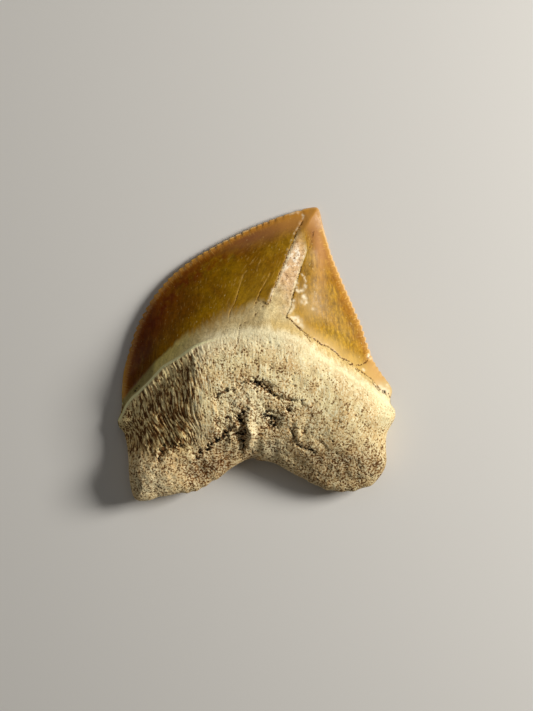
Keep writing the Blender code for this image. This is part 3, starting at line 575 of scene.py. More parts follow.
def upperFace(places):
    zone = Zone(places)
    stripAndEnamel(zone)
    x, y = zone.x, zone.y
    inner = ease(zone.edge, 0.0, 1.2)
    nearEdge = ease(zone.edge, 0.0, 0.5)

    crownCap = shape["apexThickness"] + shape["crownTaper"] * (shape["apexY"] - y)
    across, along = shape["rootFall"]
    fall = along * (y - shape["thickestY"]) ** 2 + across * x**2
    rootCap = np.maximum(shape["thinnestRoot"], shape["rootThickness"] - fall)
    crown = blade(zone.edge, shape["crownEdgeSlope"] - shape["apexFlatness"] * ease(y, 9.5, 12.8), crownCap)
    slant = ease(-x, 2.5, 7.0) * ease(y, -11.0, -8.0)
    lobe = ease(-x, 5.0, 9.0) * ease(-y, 9.5, 11.5)
    roundness = shape["rootSideRoundness"] - shape["mesialSlant"] * slant + 1.8 * lobe
    root = rounded(zone.edge, shape["rootSideWidth"], rootCap, roundness)
    height = crown + (root - crown) * zone.root

    crest = x - shape["crestX"] + 0.04 * (shape["apexY"] - y)
    crestSpan = ease(y, 2.5, 8.0) * (1 - 0.95 * ease(y, 9.6, 12.2))
    height += shape["crestHeight"] * bell(crest, shape["crestWidth"]) * crestSpan * inner
    mesialGap, _, _ = nearestOn(places, smoothLine(stripMesialSide, 0.1))
    zone.stripBorder = bell(mesialGap - 0.17, 0.07) * (zone.strip > 0)
    zone.stripBorder *= ease(-y, -10.5, -9.0) * ease(y, 4.6, 5.2)
    zone.stripFade = 1 - ease(y + 1.6 * (x - 4.2), 8.9, 12.3)
    opening = ease(zone.strip, -0.03, 0.03) * zone.stripFade
    fade = ease(zone.aboveBase, -0.8, shape["enamelFade"])
    ledge = ease(zone.aboveDistalBase, -0.03, 0.03)
    cover = (ledge * (1 - zone.mesial) + fade * zone.mesial) * (1 - opening)
    step = shape["enamelStep"] + (shape["distalStep"] - shape["enamelStep"]) * ease(x, 2.0, 4.0)
    height += step * cover * nearEdge
    height += uneven(x, y, "enamel") * cover * inner

    bare = ease(zone.strip, -0.02, 0.1) * zone.stripFade
    height += uneven(x, y, "flakes") * bare
    height += damage(zone) + rootRelief(zone, inner)
    zone.z = zone.edgeHeight + height
    zone.z[: len(outline)] = zone.edgeHeight[: len(outline)]
    zone.side = np.ones_like(x)
    return zone

def lowerFace(places):
    zone = Zone(places)
    stripAndEnamel(zone)
    x, y = zone.x, zone.y
    bevel = (1 - np.clip(zone.edge / shape["crownBevelWidth"], 0, 1)) ** 2
    underside = 1 - rounded(zone.edge, shape["rootUndersideWidth"], 1.0, 2.0)
    height = zone.edgeHeight * (bevel + (underside - bevel) * zone.root)
    gap, side, _ = nearestOn(places, smoothLine(labialNeck, 0.3))
    belowNeck = -gap * side
    height += shape["neckStep"] * ease(belowNeck, -0.06, 0.1) * bell(np.maximum(0, belowNeck), 1.5)
    height += shape["furrowDepth"] * bell(x - 0.2, shape["furrowWidth"]) * ease(-y, 3.5, 6.0)
    zone.crevice, zone.chip, zone.hair, zone.gloom = (np.zeros_like(x) for _ in range(4))
    zone.stripFade, zone.stripBorder = np.zeros_like(x), np.zeros_like(x)
    for cx, cy in labialForamina:
        reach = np.hypot(x - cx, y - cy)
        height += shape["foramenDepth"] * bell(reach, shape["foramenRadius"])
        zone.crevice = np.maximum(zone.crevice, 1 - ease(reach, 0.1, 0.3))
    zone.z = np.where((height < 0.02) & (zone.edge > 0.6), 0.0, height)
    zone.strip = np.full_like(x, -5.0)
    zone.aboveRim = gap * side  # the enamel ends at the neck on this face
    zone.aboveBase, zone.aboveDistalBase = zone.aboveRim.copy(), zone.aboveRim.copy()
    zone.crack = 0.8 * bell(gap, 0.07)
    zone.belowShield = ease(belowNeck, 1.0, 2.5)
    zone.side = np.zeros_like(x)
    return zone

cuttingEdges = {
    "distalPitch": 0.60,
    "mesialPitch": 0.70,
    "distalPeak": 0.62,  # where each denticle's point stands in its pitch
    "mesialPeak": 0.70,
    # how large the denticles are at several places along each edge
    "distalSizes": ((1.2, 3.0, 4.5, 6.2, 7.5, 8.8, 10.5, 15.5, 17.5),
                    (0, 0.45, 0.6, 0.85, 1.0, 0.8, 0.6, 0.45, 0)),
    "mesialSizes": ((0.4, 1.4, 6.0, 12.0, 15.0, 19.0, 21.0, 23.5), (0, 0.4, 0.5, 0.65, 0.9, 1.1, 0.8, 0)),
    "depth": 0.24,
    "distalSharpness": 0.8,
    "mesialSharpness": 0.62,
    "reach": 0.62,  # how far in from the edge the notches pull the surface
    "lean": 0.35,
    "grooveDepth": 0.10,
    "grooveLength": 0.48,
}

def edgeMarks(zone):
    # which cutting edge is nearest, how far along it, and how strong its denticles are there
    values = cuttingEdges
    count = len(zone.x)
    zone.edgeRun, zone.denticleSize = np.zeros(count), np.zeros(count)
    zone.mesialSide, zone.inward = np.zeros(count), np.zeros((count, 2))
    near = zone.edge < 2.5
    results = []
    for line, sizes in ((outlineParts[1], values["distalSizes"]), (outlineParts[3], values["mesialSizes"])):
        gap, _, run = nearestOn(zone.places[near], line)
        size = np.interp(run, *sizes) * (0.85 + 0.15 * np.cos(2.1 * run))
        full = lineRun(line)
        normals = leftOf(line)
        inward = np.column_stack([np.interp(run, full, normals[:, k]) for k in (0, 1)])
        results.append((gap, run + uneven(run, 0 * run, "denticles"), size, inward))
    mesial = results[1][0] < results[0][0]
    pick = [np.where(mesial, results[1][k], results[0][k]) for k in (1, 2)]
    zone.edgeRun[near], zone.denticleSize[near] = pick
    zone.mesialSide[near] = mesial
    zone.inward[near] = np.where(mesial[:, None], results[1][3], results[0][3])

def spots(zone, rows):
    # soft oval spots: centre, half width, half length, strength
    return sum(strength * bell(zone.x - cx, width) * bell(zone.y - cy, length)
               for (cx, cy), width, length, strength in rows)

def paintMarks(zone):
    # how gold, how dark brown and how pink the enamel is, where the root is stained, and where shade and
    # light are painted
    x, y = zone.x, zone.y
    middle = np.array(stripMesialSide[:0:-1] + [(4.6, 13.0)])
    stations = (-5.8, -2.5, -1.1, 0.4)
    inner = zone.aboveBase - np.interp(x, stations, (-0.4, -0.3, -0.55, 0.0))
    inner /= np.interp(x, stations, (1.5, 2.2, 1.3, 1.0))
    stations = (-12.0, -10.6, -9.0, -8.2, -7.4, -5.8)
    outer = zone.aboveRim - np.interp(x, stations, (0.5, 0.72, 0.76, 0.98, 1.20, 1.12))
    outer /= np.interp(x, stations, (0.35, 0.32, 0.30, 0.40, 0.65, 1.2))
    zone.fade = 0.5 + inner + (outer - inner) * ease(-x, 5.0, 6.6)
    zone.lower = ease(-y, 4.5, 10.5)
    zone.crisp = np.maximum(ease(-x, 3.0, 6.0), 0.12 * ease(x, 4.0, 7.0))
    zone.mossy = ease(-x, 4.0, 8.5)
    # painted shade: the crown and band darken towards the far mesial side
    zone.dim = ease(-x, 9.2, 9.8)
    # painted shade: the right side of the root, where the key lamp falls strongest, is painted a little
    # darker
    zone.gloss = ease(x, 3.5, 8.0)
    # painted light: patches lightened under the rim's mesial part, on the mesial lobe and right of the notch
    zone.lip = bell(zone.aboveRim + 0.45, 0.55) * bell(x + 5.6, 2.6) + spots(zone, paleSpotsAndPaintedLight["lip"])
    # the pale root just below the rim; its spot on the median ridge is a painted highlight on the ridge's lit
    # flank
    zone.top = ease(zone.aboveRim, -2.6, -0.3) * ease(-zone.aboveRim, -0.5, 0.1)
    zone.top *= 1 - 0.5 * ease(x, 1.0, 6.0)
    zone.top += spots(zone, paleSpotsAndPaintedLight["top"])
    zone.distal = ease(x - np.interp(y, middle[:, 1], middle[:, 0]), 0.3, 0.5)
    zone.gold = ease(x - 0.30 * y, -6.0, 1.5) * 0.68 + 0.32 * zone.distal
    # dark brown of the lower mesial crown: partly the enamel's own tone, partly painted shade where the blade
    # slopes away from the light
    zone.umber = ease(-x - 0.75 * (y - 2.0), 2.0, 9.5) * (0.3 + 0.7 * ease(zone.aboveBase, 0.2, 3.0))
    zone.umber *= 1 - zone.distal
    zone.rust = bell(zone.edge - 1.4, 0.75) * ease(-y, -11.5, -8.0) * ease(y, -4.5, -2.0)
    zone.rust *= 1 - zone.distal
    zone.pink = ease(y + 0.15 * x, 8.0, 11.0) * (1 - ease(zone.edge, 1.0, 2.5))
    zone.heel = 0.6 * ease(x, 9.2, 11.4) * ease(-y, -0.6, 1.6)
    zone.heel += 0.4 * ease(x, 11.0, 12.0) * ease(-y, 2.0, 3.2)
    zone.tip = ease(y, 10.8, 13.0)
    zone.glow = 0.45 * zone.distal * bell(x - 4.8, 1.2) * bell(y - 4.1, 1.8)
    # partly painted highlight: a pale pinkish stripe down the crown's crest
    crest = x - shape["crestX"] - 0.04 * (shape["apexY"] - y)
    zone.crest = bell(crest, 0.42) * ease(y, 3.5, 8.5) * (1 - ease(y, 10.5, 12.5))
    zone.shade = ease(-x, 4.8, 7.0) * ease(y, -10.5, -7.5)
    # where the strip's pale flakes and painted glints are
    zone.flaky = bell(y - 8.8, 1.25)
    lean = 0.40 * ease(x, -7.0, 1.5) * (1 - zone.distal * (zone.strip < 0)) * ease(y, 2.5, 6.0)
    zone.growth = np.column_stack([x - lean * (y - 2.5), y, zone.z])
    shoulder = ease(-x, 11.4, 12.4)
    zone.fibrous = (0.20 + 0.62 * ease(-x, 2.6, 6.4) + 0.06 * ease(x, 2.0, 6.0)) * (1 - 0.7 * shoulder)
    zone.fibrous *= 1 - 0.75 * ease(-y, 8.6, 10.6)
    zone.fibrous += 0.24 * bell(x - 1.0, 4.5) * ease(y, -3.6, -1.2)
    zone.fibrous += 0.14 * ease(x, 3.0, 6.0) * ease(y, -7.0, -3.0)
    zone.clean = ease(x, 1.0, 4.0) * ease(y, -9.5, -6.5)
    zone.clean += 0.4 * ease(zone.aboveRim, -3.0, -0.8) * ease(x, -5.5, -3.0)
    # brown stains, with one spot of painted shadow beside the median ridge
    zone.stain = np.clip(spots(zone, rootStainsAndShadow), 0, 1)

def fibreMarks(zone):
    # across and along the root's fibres, which lean towards the notch on both sides
    lean = 0.38 * ease(-zone.x, 1.5, 7.0) - 0.32 * ease(zone.x, 1.0, 8.0) * ease(-zone.y, 3.0, 9.0)
    bend = uneven(zone.x, zone.y, "fibres")
    zone.fibre = np.column_stack([zone.x + (lean + bend) * (zone.y - 2.0), zone.y, zone.z])
    chains = np.minimum(zone.crevice * 2, 1)
    middle = bell(zone.x - 0.5, 5.0) * bell(zone.y + 6.5, 3.0)
    left = ease(-zone.x, 3.0, 6.0)
    belowRim = ease(-zone.aboveRim, 0.05 + 0.07 * left, 0.8 - 0.4 * left)
    patches = 0.5 + uneven(zone.x, zone.y, "pores")
    zone.pores = belowRim * (0.22 + 0.35 * patches + 0.5 * middle) * (1 - 0.6 * ease(zone.x, 1.5, 6.0))
    zone.pores = np.clip(zone.pores + 0.8 * chains * belowRim, 0, 1)
    zone.rough = belowRim
    zone.relief = belowRim * np.maximum(zone.side, ease(zone.z, 0.02, 0.3))  # none where it lies

upperPlacesFound, upperFaces = faceMesh(upperPlaces())
lowerPlacesFound, lowerFaces = faceMesh(lowerPlaces())
upper, lower = upperFace(upperPlacesFound), lowerFace(lowerPlacesFound)
for zone in (upper, lower):
    edgeMarks(zone)
    paintMarks(zone)
    fibreMarks(zone)
print("surface worked out:", len(upperFaces) + len(lowerFaces), "triangles")

markNames = (
    "edge edgeRun denticleSize mesialSide side strip aboveRim aboveBase aboveDistalBase distal crevice crack "
    "chip hair pores rough relief belowShield gold umber pink rust tip glow heel crest dim fade stripFade "
    "stripBorder flaky mossy crisp lip top lower stain gloom shade clean gloss fibrous"
)
bakeMap = {"width": 56.0, "height": 29.0, "left": 14.0, "low": 14.5}  # what the map spans, in millimetres

def buildMesh():
    # the two faces share the outline's vertices, which come first in both
    rim = len(outline)
    joined = {}
    for name in ["places", "z", "inward", "fibre", "growth"] + markNames.split():
        joined[name] = np.concatenate([getattr(upper, name), getattr(lower, name)[rim:]])
    joined["inward"] = np.column_stack([joined["inward"], np.zeros(len(joined["z"]))])
    points = np.column_stack([joined.pop("places") - outlineMiddle, joined.pop("z")]) / metre
    lowerShifted = np.where(lowerFaces < rim, lowerFaces, lowerFaces + len(upper.x) - rim)[:, ::-1]
    mesh = bpy.data.meshes.new("fossilTooth")
    mesh.from_pydata(points.tolist(), [], np.vstack([upperFaces, lowerShifted]).tolist())
    for name, values in joined.items():
        kind, field = ("FLOAT", "value") if values.ndim == 1 else ("FLOAT_VECTOR", "vector")
        mesh.attributes.new(name, kind, "POINT").data.foreach_set(field, values.astype(np.float32).ravel())
    addBakeMap(mesh, points * metre, len(upperFaces))
    mesh.shade_smooth()
    return mesh

def addBakeMap(mesh, points, upperCount):
    # the two faces side by side
    corner = np.empty(len(mesh.loops), int)
    mesh.loops.foreach_get("vertex_index", corner)
    onLower = np.arange(len(corner)) >= upperCount * 3
    uv = np.empty((len(corner), 2))
    uv[:, 0] = (points[corner, 0] + bakeMap["left"]) / bakeMap["width"] + 0.5 * onLower
    uv[:, 1] = (points[corner, 1] + bakeMap["low"]) / bakeMap["height"]
    mesh.uv_layers.new(name="OFBake").data.foreach_set("uv", uv.astype(np.float32).ravel())

toothMesh = buildMesh()
print("mesh built:", len(toothMesh.vertices), "vertices")

# Node helpers, which add to the tree on the bench
bench = {}

class Wire:
    # a node's output; arithmetic on it adds a math node

    def __init__(self, socket):
        self.socket = socket

    def __add__(self, other):
        return calc("ADD", self, other)

    def __sub__(self, other):
        return calc("SUBTRACT", self, other)

    def __rsub__(self, other):
        return calc("SUBTRACT", other, self)

    def __mul__(self, other):
        return calc("MULTIPLY", self, other)

    def __truediv__(self, other):
        return calc("DIVIDE", self, other)

    def __pow__(self, other):
        return calc("POWER", self, other)

    def __abs__(self):
        return calc("ABSOLUTE", self)

def feed(node, key, value):
    if isinstance(value, Wire):
        bench["tree"].links.new(value.socket, node.inputs[key])
    else:
        node.inputs[key].default_value = value

def addNode(kind, inputs=None, **settings):
    node = bench["tree"].nodes.new(kind)
    for name, value in settings.items():
        setattr(node, name, value)
    for key, value in (inputs or {}).items():
        feed(node, key, value)
    return node

def made(kind, inputs=None, output=0, **settings):
    return Wire(addNode(kind, inputs, **settings).outputs[output])

def calc(operation, first, second=0.0, third=0.0):
    return made("ShaderNodeMath", {0: first, 1: second, 2: third}, operation=operation)

def larger(first, second):
    return calc("MAXIMUM", first, second)

def scaled(vector, amount):
    return made("ShaderNodeVectorMath", {0: vector, "Scale": amount}, operation="SCALE")

def squeezed(vector, sizes):
    return made("ShaderNodeVectorMath", {0: vector, 1: sizes}, operation="MULTIPLY")

def pick(factor, first, second):
    return made("ShaderNodeMix", {0: factor, 2: first, 3: second})

def between(value, low, high, toLow=0.0, toHigh=1.0):
    # a smooth ramp from low to high
    inputs = {"Value": value, "From Min": low, "From Max": high, "To Min": toLow, "To Max": toHigh}
    return made("ShaderNodeMapRange", inputs, interpolation_type="SMOOTHSTEP")

def startTree(name, values):
    # a tree with an input for each number in values, and one for the material
    tree = bench["tree"] = bpy.data.node_groups.new(name, "GeometryNodeTree")
    kinds = {float: "NodeSocketFloat", int: "NodeSocketInt"}
    tree.interface.new_socket("Geometry", in_out="INPUT", socket_type="NodeSocketGeometry")
    for label, value in values.items():
        if type(value) in kinds:
            tree.interface.new_socket(label, in_out="INPUT", socket_type=kinds[type(value)])
    tree.interface.new_socket("material", in_out="INPUT", socket_type="NodeSocketMaterial")
    tree.interface.new_socket("Geometry", in_out="OUTPUT", socket_type="NodeSocketGeometry")
    return {socket.name: Wire(socket) for socket in addNode("NodeGroupInput").outputs}

def endTree(given, offset, name, value):
    # moves the surface, keeps value as a mark on it and sets the material
    moved = made("GeometryNodeSetPosition", {"Geometry": given["Geometry"], "Offset": offset})
    marks = {"Geometry": moved, "Name": name, "Value": value}
    kept = made("GeometryNodeStoreNamedAttribute", marks, data_type="FLOAT", domain="POINT")
    real = made("GeometryNodeRealizeInstances", {0: kept})
    painted = made("GeometryNodeSetMaterial", {"Geometry": real, "Material": given["material"]})
    addNode("NodeGroupOutput", {0: painted})
    return bench["tree"]

def attributeField(name, kind="FLOAT"):
    return made("GeometryNodeInputNamedAttribute", {"Name": name}, "Attribute", data_type=kind)

def useTree(piece, tree, values):
    modifier = piece.modifiers.new(tree.name, "NODES")
    modifier.node_group = tree
    for item in tree.interface.items_tree:
        if item.in_out == "INPUT" and item.name in values:
            modifier[item.identifier] = values[item.name]

def denticleTree():
    given = startTree("denticles", cuttingEdges)
    gap, run = attributeField("edge"), attributeField("edgeRun")
    size, mesial = attributeField("denticleSize"), attributeField("mesialSide")
    inward, side = attributeField("inward", "FLOAT_VECTOR"), attributeField("side")
    pitch = pick(mesial, given["distalPitch"], given["mesialPitch"])
    peak = pick(mesial, given["distalPeak"], given["mesialPeak"])
    leaning = gap * (given["lean"] * pick(mesial, 1.0, -1.0))
    phase = calc("FRACT", (run + leaning) / pitch)
    rising = phase / peak
    falling = (1.0 - phase) / (1.0 - peak)
    lobe = calc("MINIMUM", rising, falling)
    sharpness = pick(mesial, given["distalSharpness"], given["mesialSharpness"])
    notch = (1.0 - lobe ** sharpness) * size
    near = larger(0.0, 1.0 - gap / given["reach"])
    pull = notch * given["depth"] * near ** 2.0
    sideways = scaled(inward, pull / metre)

    far = gap / given["grooveLength"]
    faded = calc("EXPONENT", far * far * -1.0)
    groove = notch * faded * between(gap, 0.0, 0.12)
    downUp = 1.0 - side * 2.0
    drop = groove * given["grooveDepth"] * downUp
    lift = made("ShaderNodeCombineXYZ", {"Z": drop / metre})
    offset = made("ShaderNodeVectorMath", {0: sideways, 1: lift}, operation="ADD")
    return endTree(given, offset, "notch", notch * faded)

rootFibres = {
    "ridgeHeight": 0.12,
    "ridgeAcross": 1.8,  # ridges in a millimetre, about
    "grainHeight": 0.035,
}
rootPores = {
    "poresPerSquare": 6.0,
    "smallestPore": 0.05,
    "largestPore": 0.14,
    "poreDepth": 0.09,
    "poreSeed": 7,
}

def fibreTree():
    given = startTree("root fibres", rootFibres)
    fibre, rough = attributeField("fibre", "FLOAT_VECTOR"), attributeField("rough")
    below = attributeField("belowShield")
    long = squeezed(fibre, (1.0, 0.11, 1.0))
    noise = {"Scale": given["ridgeAcross"], "Detail": 2.0, "Roughness": 0.55, "Distortion": 0.3}
    broad = made("ShaderNodeTexNoise", {"Vector": long, **noise})
    ridge = 0.5 - abs(broad - 0.5)
    ridge = between(ridge, 0.28, 0.5, -0.6, 0.4)
    strong = between(attributeField("fibrous"), 0.28, 0.85, 0.06, 0.85)
    shieldOnly = between(below, 0.0, 1.0, 1.0, 0.45) * strong
    ridge = ridge * given["ridgeHeight"] * shieldOnly
    fine = made("ShaderNodeTexNoise", {"Vector": fibre, "Scale": 4.2, "Detail": 2.0, "Roughness": 0.6})
    grain = (fine - 0.5) * given["grainHeight"]
    amount = (ridge + grain * 2.0) * attributeField("relief")
    offset = scaled(made("GeometryNodeInputNormal"), amount / metre)
    return endTree(given, offset, "ridge", between(ridge, -0.05, 0.03) * rough)

def poreTree():
    given = startTree("root pores", rootPores)
    density = given["poresPerSquare"] * (metre * metre) * attributeField("pores")
    scatter = {"Mesh": given["Geometry"], "Density": density, "Seed": given["poreSeed"]}
    points = made("GeometryNodeDistributePointsOnFaces", scatter, output="Points")
    position = made("GeometryNodeInputPosition")
    nearest = {"Geometry": points, "Sample Position": position}
    index = made("GeometryNodeSampleNearest", nearest, domain="POINT")
    sample = {"Geometry": points, "Value": position, "Index": index}
    centre = made("GeometryNodeSampleIndex", sample, data_type="FLOAT_VECTOR", domain="POINT")
    reach = made("ShaderNodeVectorMath", {0: position, 1: centre}, output="Value", operation="DISTANCE")
    reach = reach * metre
    draw = {"ID": index, "Seed": given["poreSeed"]}
    chance = made("FunctionNodeRandomValue", draw, output="Value", data_type="FLOAT")
    spread = given["largestPore"] - given["smallestPore"]
    radius = chance ** 2.2 * spread + given["smallestPore"]
    hole = between(reach / radius, 0.35, 1.15, 1.0, 0.0)
    deeper = between(radius, given["smallestPore"], given["largestPore"], 0.5, 1.4)
    depth = hole * given["poreDepth"] * deeper
    offset = scaled(made("GeometryNodeInputNormal"), depth / -metre)
    return endTree(given, offset, "pore", hole)

# The fossil's finish
def tint(red, green, blue):
    channels = [c / 255 for c in (red, green, blue)]
    return tuple(c / 12.92 if c <= 0.04 else ((c + 0.055) / 1.055) ** 2.4 for c in channels) + (1.0,)

def mark(name, output="Fac"):
    return made("ShaderNodeAttribute", output=output, attribute_name=name)

def blend(factor, first, second, kind="MIX"):
    return made("ShaderNodeMix", {0: factor, 6: first, 7: second}, 2, data_type="RGBA", blend_type=kind)

def shaded(colour, tone, share=1.0):
    return blend(share, colour, tone, "MULTIPLY")

def speckle(vector, size, detail=2.0, roughness=0.55):
    # noise with grains of about this size, in millimetres
    inputs = {"Vector": vector, "Scale": 1 / size, "Detail": detail, "Roughness": roughness}
    return made("ShaderNodeTexNoise", inputs, "Fac")

enamelPaint = {
    "olive": tint(148, 109, 2),
    "oliveDark": tint(120, 78, 0),
    # dark brown, partly painted shade
    "umber": tint(131, 66, 2),
    "honey": tint(172, 132, 34),
    "honeyDark": tint(150, 106, 12),
    "margin": tint(150, 74, 8),
    "rust": tint(112, 38, 0),
    "marginMesial": tint(226, 152, 34),
    # painted shade in the notches between the denticles
    "groove": tint(96, 50, 6),
    # painted highlight: a thin bright line along the crown's outline, mesial, at the apex and distal
    "outlineHighlightMesial": tint(238, 186, 84),
    "outlineHighlightApex": tint(244, 214, 156),
    "outlineHighlightDistal": tint(238, 198, 142),
    "marginDistal": tint(186, 136, 62),
    # painted highlight on the short streaks running inward from the edges
    "edgeHighlightStreak": tint(236, 188, 96),
    "tip": tint(189, 134, 59),
    "heelTip": tint(204, 176, 122),
    "foot": tint(214, 178, 104),
    "pink": tint(152, 100, 62),
    # pale pinkish crest stripe, partly a painted highlight
    "crest": tint(202, 150, 92),
    "heel": tint(208, 166, 102),
    "speck": tint(235, 205, 140),
    "scratch": tint(226, 184, 108),
    # pale chips, with painted glints on them
    "chip": tint(252, 238, 204),
}
barePaint = {
    "strip": tint(220, 184, 138),
    "stripDull": tint(222, 182, 132),
    "stripFoot": tint(206, 174, 116),
    # pale dentine, and painted glints on the strip
    "stripPaleAndGlint": tint(252, 238, 214),
    "stripDark": tint(130, 84, 44),
    "band": tint(228, 208, 156),
    "bandDark": tint(204, 180, 128),
    "bandMossy": tint(228, 208, 112),
    # painted shade on the band's far mesial end
    "bandShaded": tint(142, 126, 62),
    "bandWarm": tint(220, 188, 118),
    "rim": tint(246, 232, 190),
    # bright rim line, partly a painted highlight
    "crest": tint(255, 250, 192),
}
rootPaint = {
    "cream": tint(250, 234, 182),
    "tan": tint(230, 198, 142),
    "warm": tint(206, 166, 108),
    "pale": tint(255, 247, 210),
    "brown": tint(138, 98, 52),
    "speck": tint(118, 76, 34),
    "pore": tint(88, 54, 22),
    "crack": tint(92, 58, 20),
    "dark": tint(74, 42, 16),
    "lower": tint(226, 192, 138),
    "stain": tint(122, 84, 46),
    "shade": (1.0, 0.92, 0.72, 1.0),
    "sunlit": (0.86, 0.875, 0.88, 1.0),
    "black": tint(14, 9, 5),
}

def marginHighlightStreaks(gap):
    # painted highlights: short pale lines running inward from the cutting edges
    run = made("ShaderNodeCombineXYZ", {"X": mark("edgeRun"), "Y": gap * 0.25, "Z": mark("mesialSide")})
    lines = between(speckle(run, 0.14, 1.0), 0.54, 0.7)
    reach = between(gap, 0.0, 0.12) * between(gap, 0.3, 0.95, 1.0, 0.0)
    return lines * reach * 0.5

def enamelColour(place, streaks):
    paint = enamelPaint
    cloud = between(speckle(place, 3.2, 3.0), 0.32, 0.68)
    mesial = blend(cloud, paint["oliveDark"], paint["olive"])
    distal = blend(cloud, paint["honeyDark"], paint["honey"])
    colour = blend(mark("gold"), mesial, distal)
    # dark brown lower mesial crown, partly painted shade
    colour = blend(mark("umber"), colour, paint["umber"])
    lines = between(streaks, 0.3, 0.7, 0.82, 1.14)
    colour = shaded(colour, lines)
    worn = between(speckle(place, 0.24, 3.0, 0.8), 0.3, 0.7, 0.82, 1.18)
    colour = shaded(colour, worn)
    growth = mark("growth", "Vector")
    ripples = speckle(squeezed(growth, (1.0, 0.3, 1.0)), 0.3, 2.0, 0.7)
    ripples = between(ripples, 0.34, 0.66, 0.74, 1.24)
    rippled = larger(mark("distal"), between(mark("edge"), 0.5, 3.2, 1.0, 0.35))
    colour = shaded(colour, ripples, rippled)
    fine = speckle(squeezed(growth, (1.0, 0.07, 0.6)), 0.13, 1.0)
    scratches = between(fine, 0.59, 0.75, 0.0, 0.22) * between(mark("edge"), 0.6, 1.4)
    colour = blend(scratches, colour, paint["scratch"])

    gap = mark("edge")
    wander = speckle(place, 0.9) * 1.2 + gap
    margin = between(wander, 0.7, 2.2, 1.0, 0.0) * between(mark("distal"), 0, 1, 0.8, 0.5)
    colour = blend(margin, colour, paint["margin"])
    rust = mark("rust") * between(speckle(place, 0.8, 3.0), 0.35, 0.65, 0.0, 0.8)
    colour = blend(rust, colour, paint["rust"])
    # pink upper crown and tip; the pale stripe along the crest is partly a painted highlight
    for name, share in (("pink", 0.75), ("crest", 0.5), ("tip", 0.85)):
        colour = blend(mark(name) * share, colour, paint[name])
    foot = between(mark("aboveDistalBase"), 0.0, 1.5, 0.8, 0.0) * mark("distal")
    colour = blend(larger(foot, mark("glow")), colour, paint["foot"])
    fringePaint = blend(mark("distal"), paint["marginMesial"], paint["marginDistal"])
    darker = between(mark("umber"), 0.6, 1.0, 1.0, 0.62)
    darker = darker * between(mark("tip"), 0.0, 1.0, 1.0, 0.35)
    colour = blend(between(gap, 0.16, 0.72, darker * 0.95, 0.0), colour, fringePaint)
    # painted highlights running inward from the cutting edges
    colour = blend(marginHighlightStreaks(gap) * darker, colour, paint["edgeHighlightStreak"])
    # painted shade: darker brown in the notches between the denticles
    notchShade = between(mark("notch"), 0.25, 0.7, 0.0, 0.75) * between(gap, 0.05, 0.2)
    colour = blend(notchShade, colour, paint["groove"])
    # painted highlight: a thin bright line along the crown's outline, weaker where the enamel is dark brown
    outlineHighlight = blend(mark("pink"), paint["outlineHighlightMesial"], paint["outlineHighlightApex"])
    outlineHighlight = blend(mark("distal"), outlineHighlight, paint["outlineHighlightDistal"])
    colour = blend(between(gap, 0.03, 0.22, darker * 0.85, 0.0), colour, outlineHighlight)
    colour = blend(between(mark("heel"), 0.0, 0.6, 0.0, 0.85), colour, paint["heel"])
    colour = blend(between(mark("heel"), 0.6, 1.0), colour, paint["heelTip"])

    specks = between(speckle(squeezed(growth, (1.0, 0.4, 1.0)), 0.2, 1.0), 0.73, 0.79)
    colour = blend(specks * 0.45, colour, paint["speck"])
    # painted shade towards the far mesial side
    return shaded(colour, mark("dim") * -0.25 + 1.0)

def bareColour(place, streaks):
    # dentine of the strip, the band above the rim, and the rim
    paint = barePaint
    flakes = speckle(place, 0.55, 4.0, 0.65)
    strip = blend(mark("flaky"), paint["stripDull"], paint["strip"])
    strip = blend(between(mark("aboveBase"), 0.4, 3.2, 1.0, 0.0), strip, paint["stripFoot"])
    # partly painted glints: pale flakes on the middle of the strip
    pale = between(flakes, 0.44, 0.6) * between(mark("flaky"), 0.2, 0.9, 0.25, 1.0)
    strip = blend(pale, strip, paint["stripPaleAndGlint"])
    strip = blend(between(speckle(place, 0.25, 3.0, 0.7), 0.53, 0.66, 0.0, 0.75), strip, paint["stripDark"])
    patches = speckle(place, 1.1, 4.0, 0.65)
    band = blend(between(patches, 0.4, 0.62), paint["bandDark"], paint["band"])
    warmth = mark("distal") * between(mark("aboveRim"), 0.9, 1.7, 0.8, 0.1)
    band = blend(warmth, band, paint["bandWarm"])
    band = blend(mark("mossy") * 0.85, band, paint["bandMossy"])
    # painted shade on the band's far mesial end
    band = blend(mark("dim") * 0.9, band, paint["bandShaded"])
    strip = blend(mark("stripBorder") * 0.7, strip, paint["stripPaleAndGlint"])
    inStrip = between(mark("strip"), -0.05, 0.3) * between(mark("aboveBase"), 0.4, 3.0)
    colour = blend(inStrip, band, strip)
    edge = streaks * -1.5 + mark("aboveRim")
    feather = between(edge, -0.8, 0.1, 0.9, 0.0) * between(mark("crisp"), 0, 1, 1.0, 0.1)
    colour = blend(feather, colour, paint["rim"])
    lines = between(streaks, 0.3, 0.7, 0.84, 1.06)
    colour = shaded(colour, lines)
    grainy = between(speckle(place, 0.18, 2.0, 0.7), 0.34, 0.52, 0.8, 1.04)
    return shaded(colour, grainy)

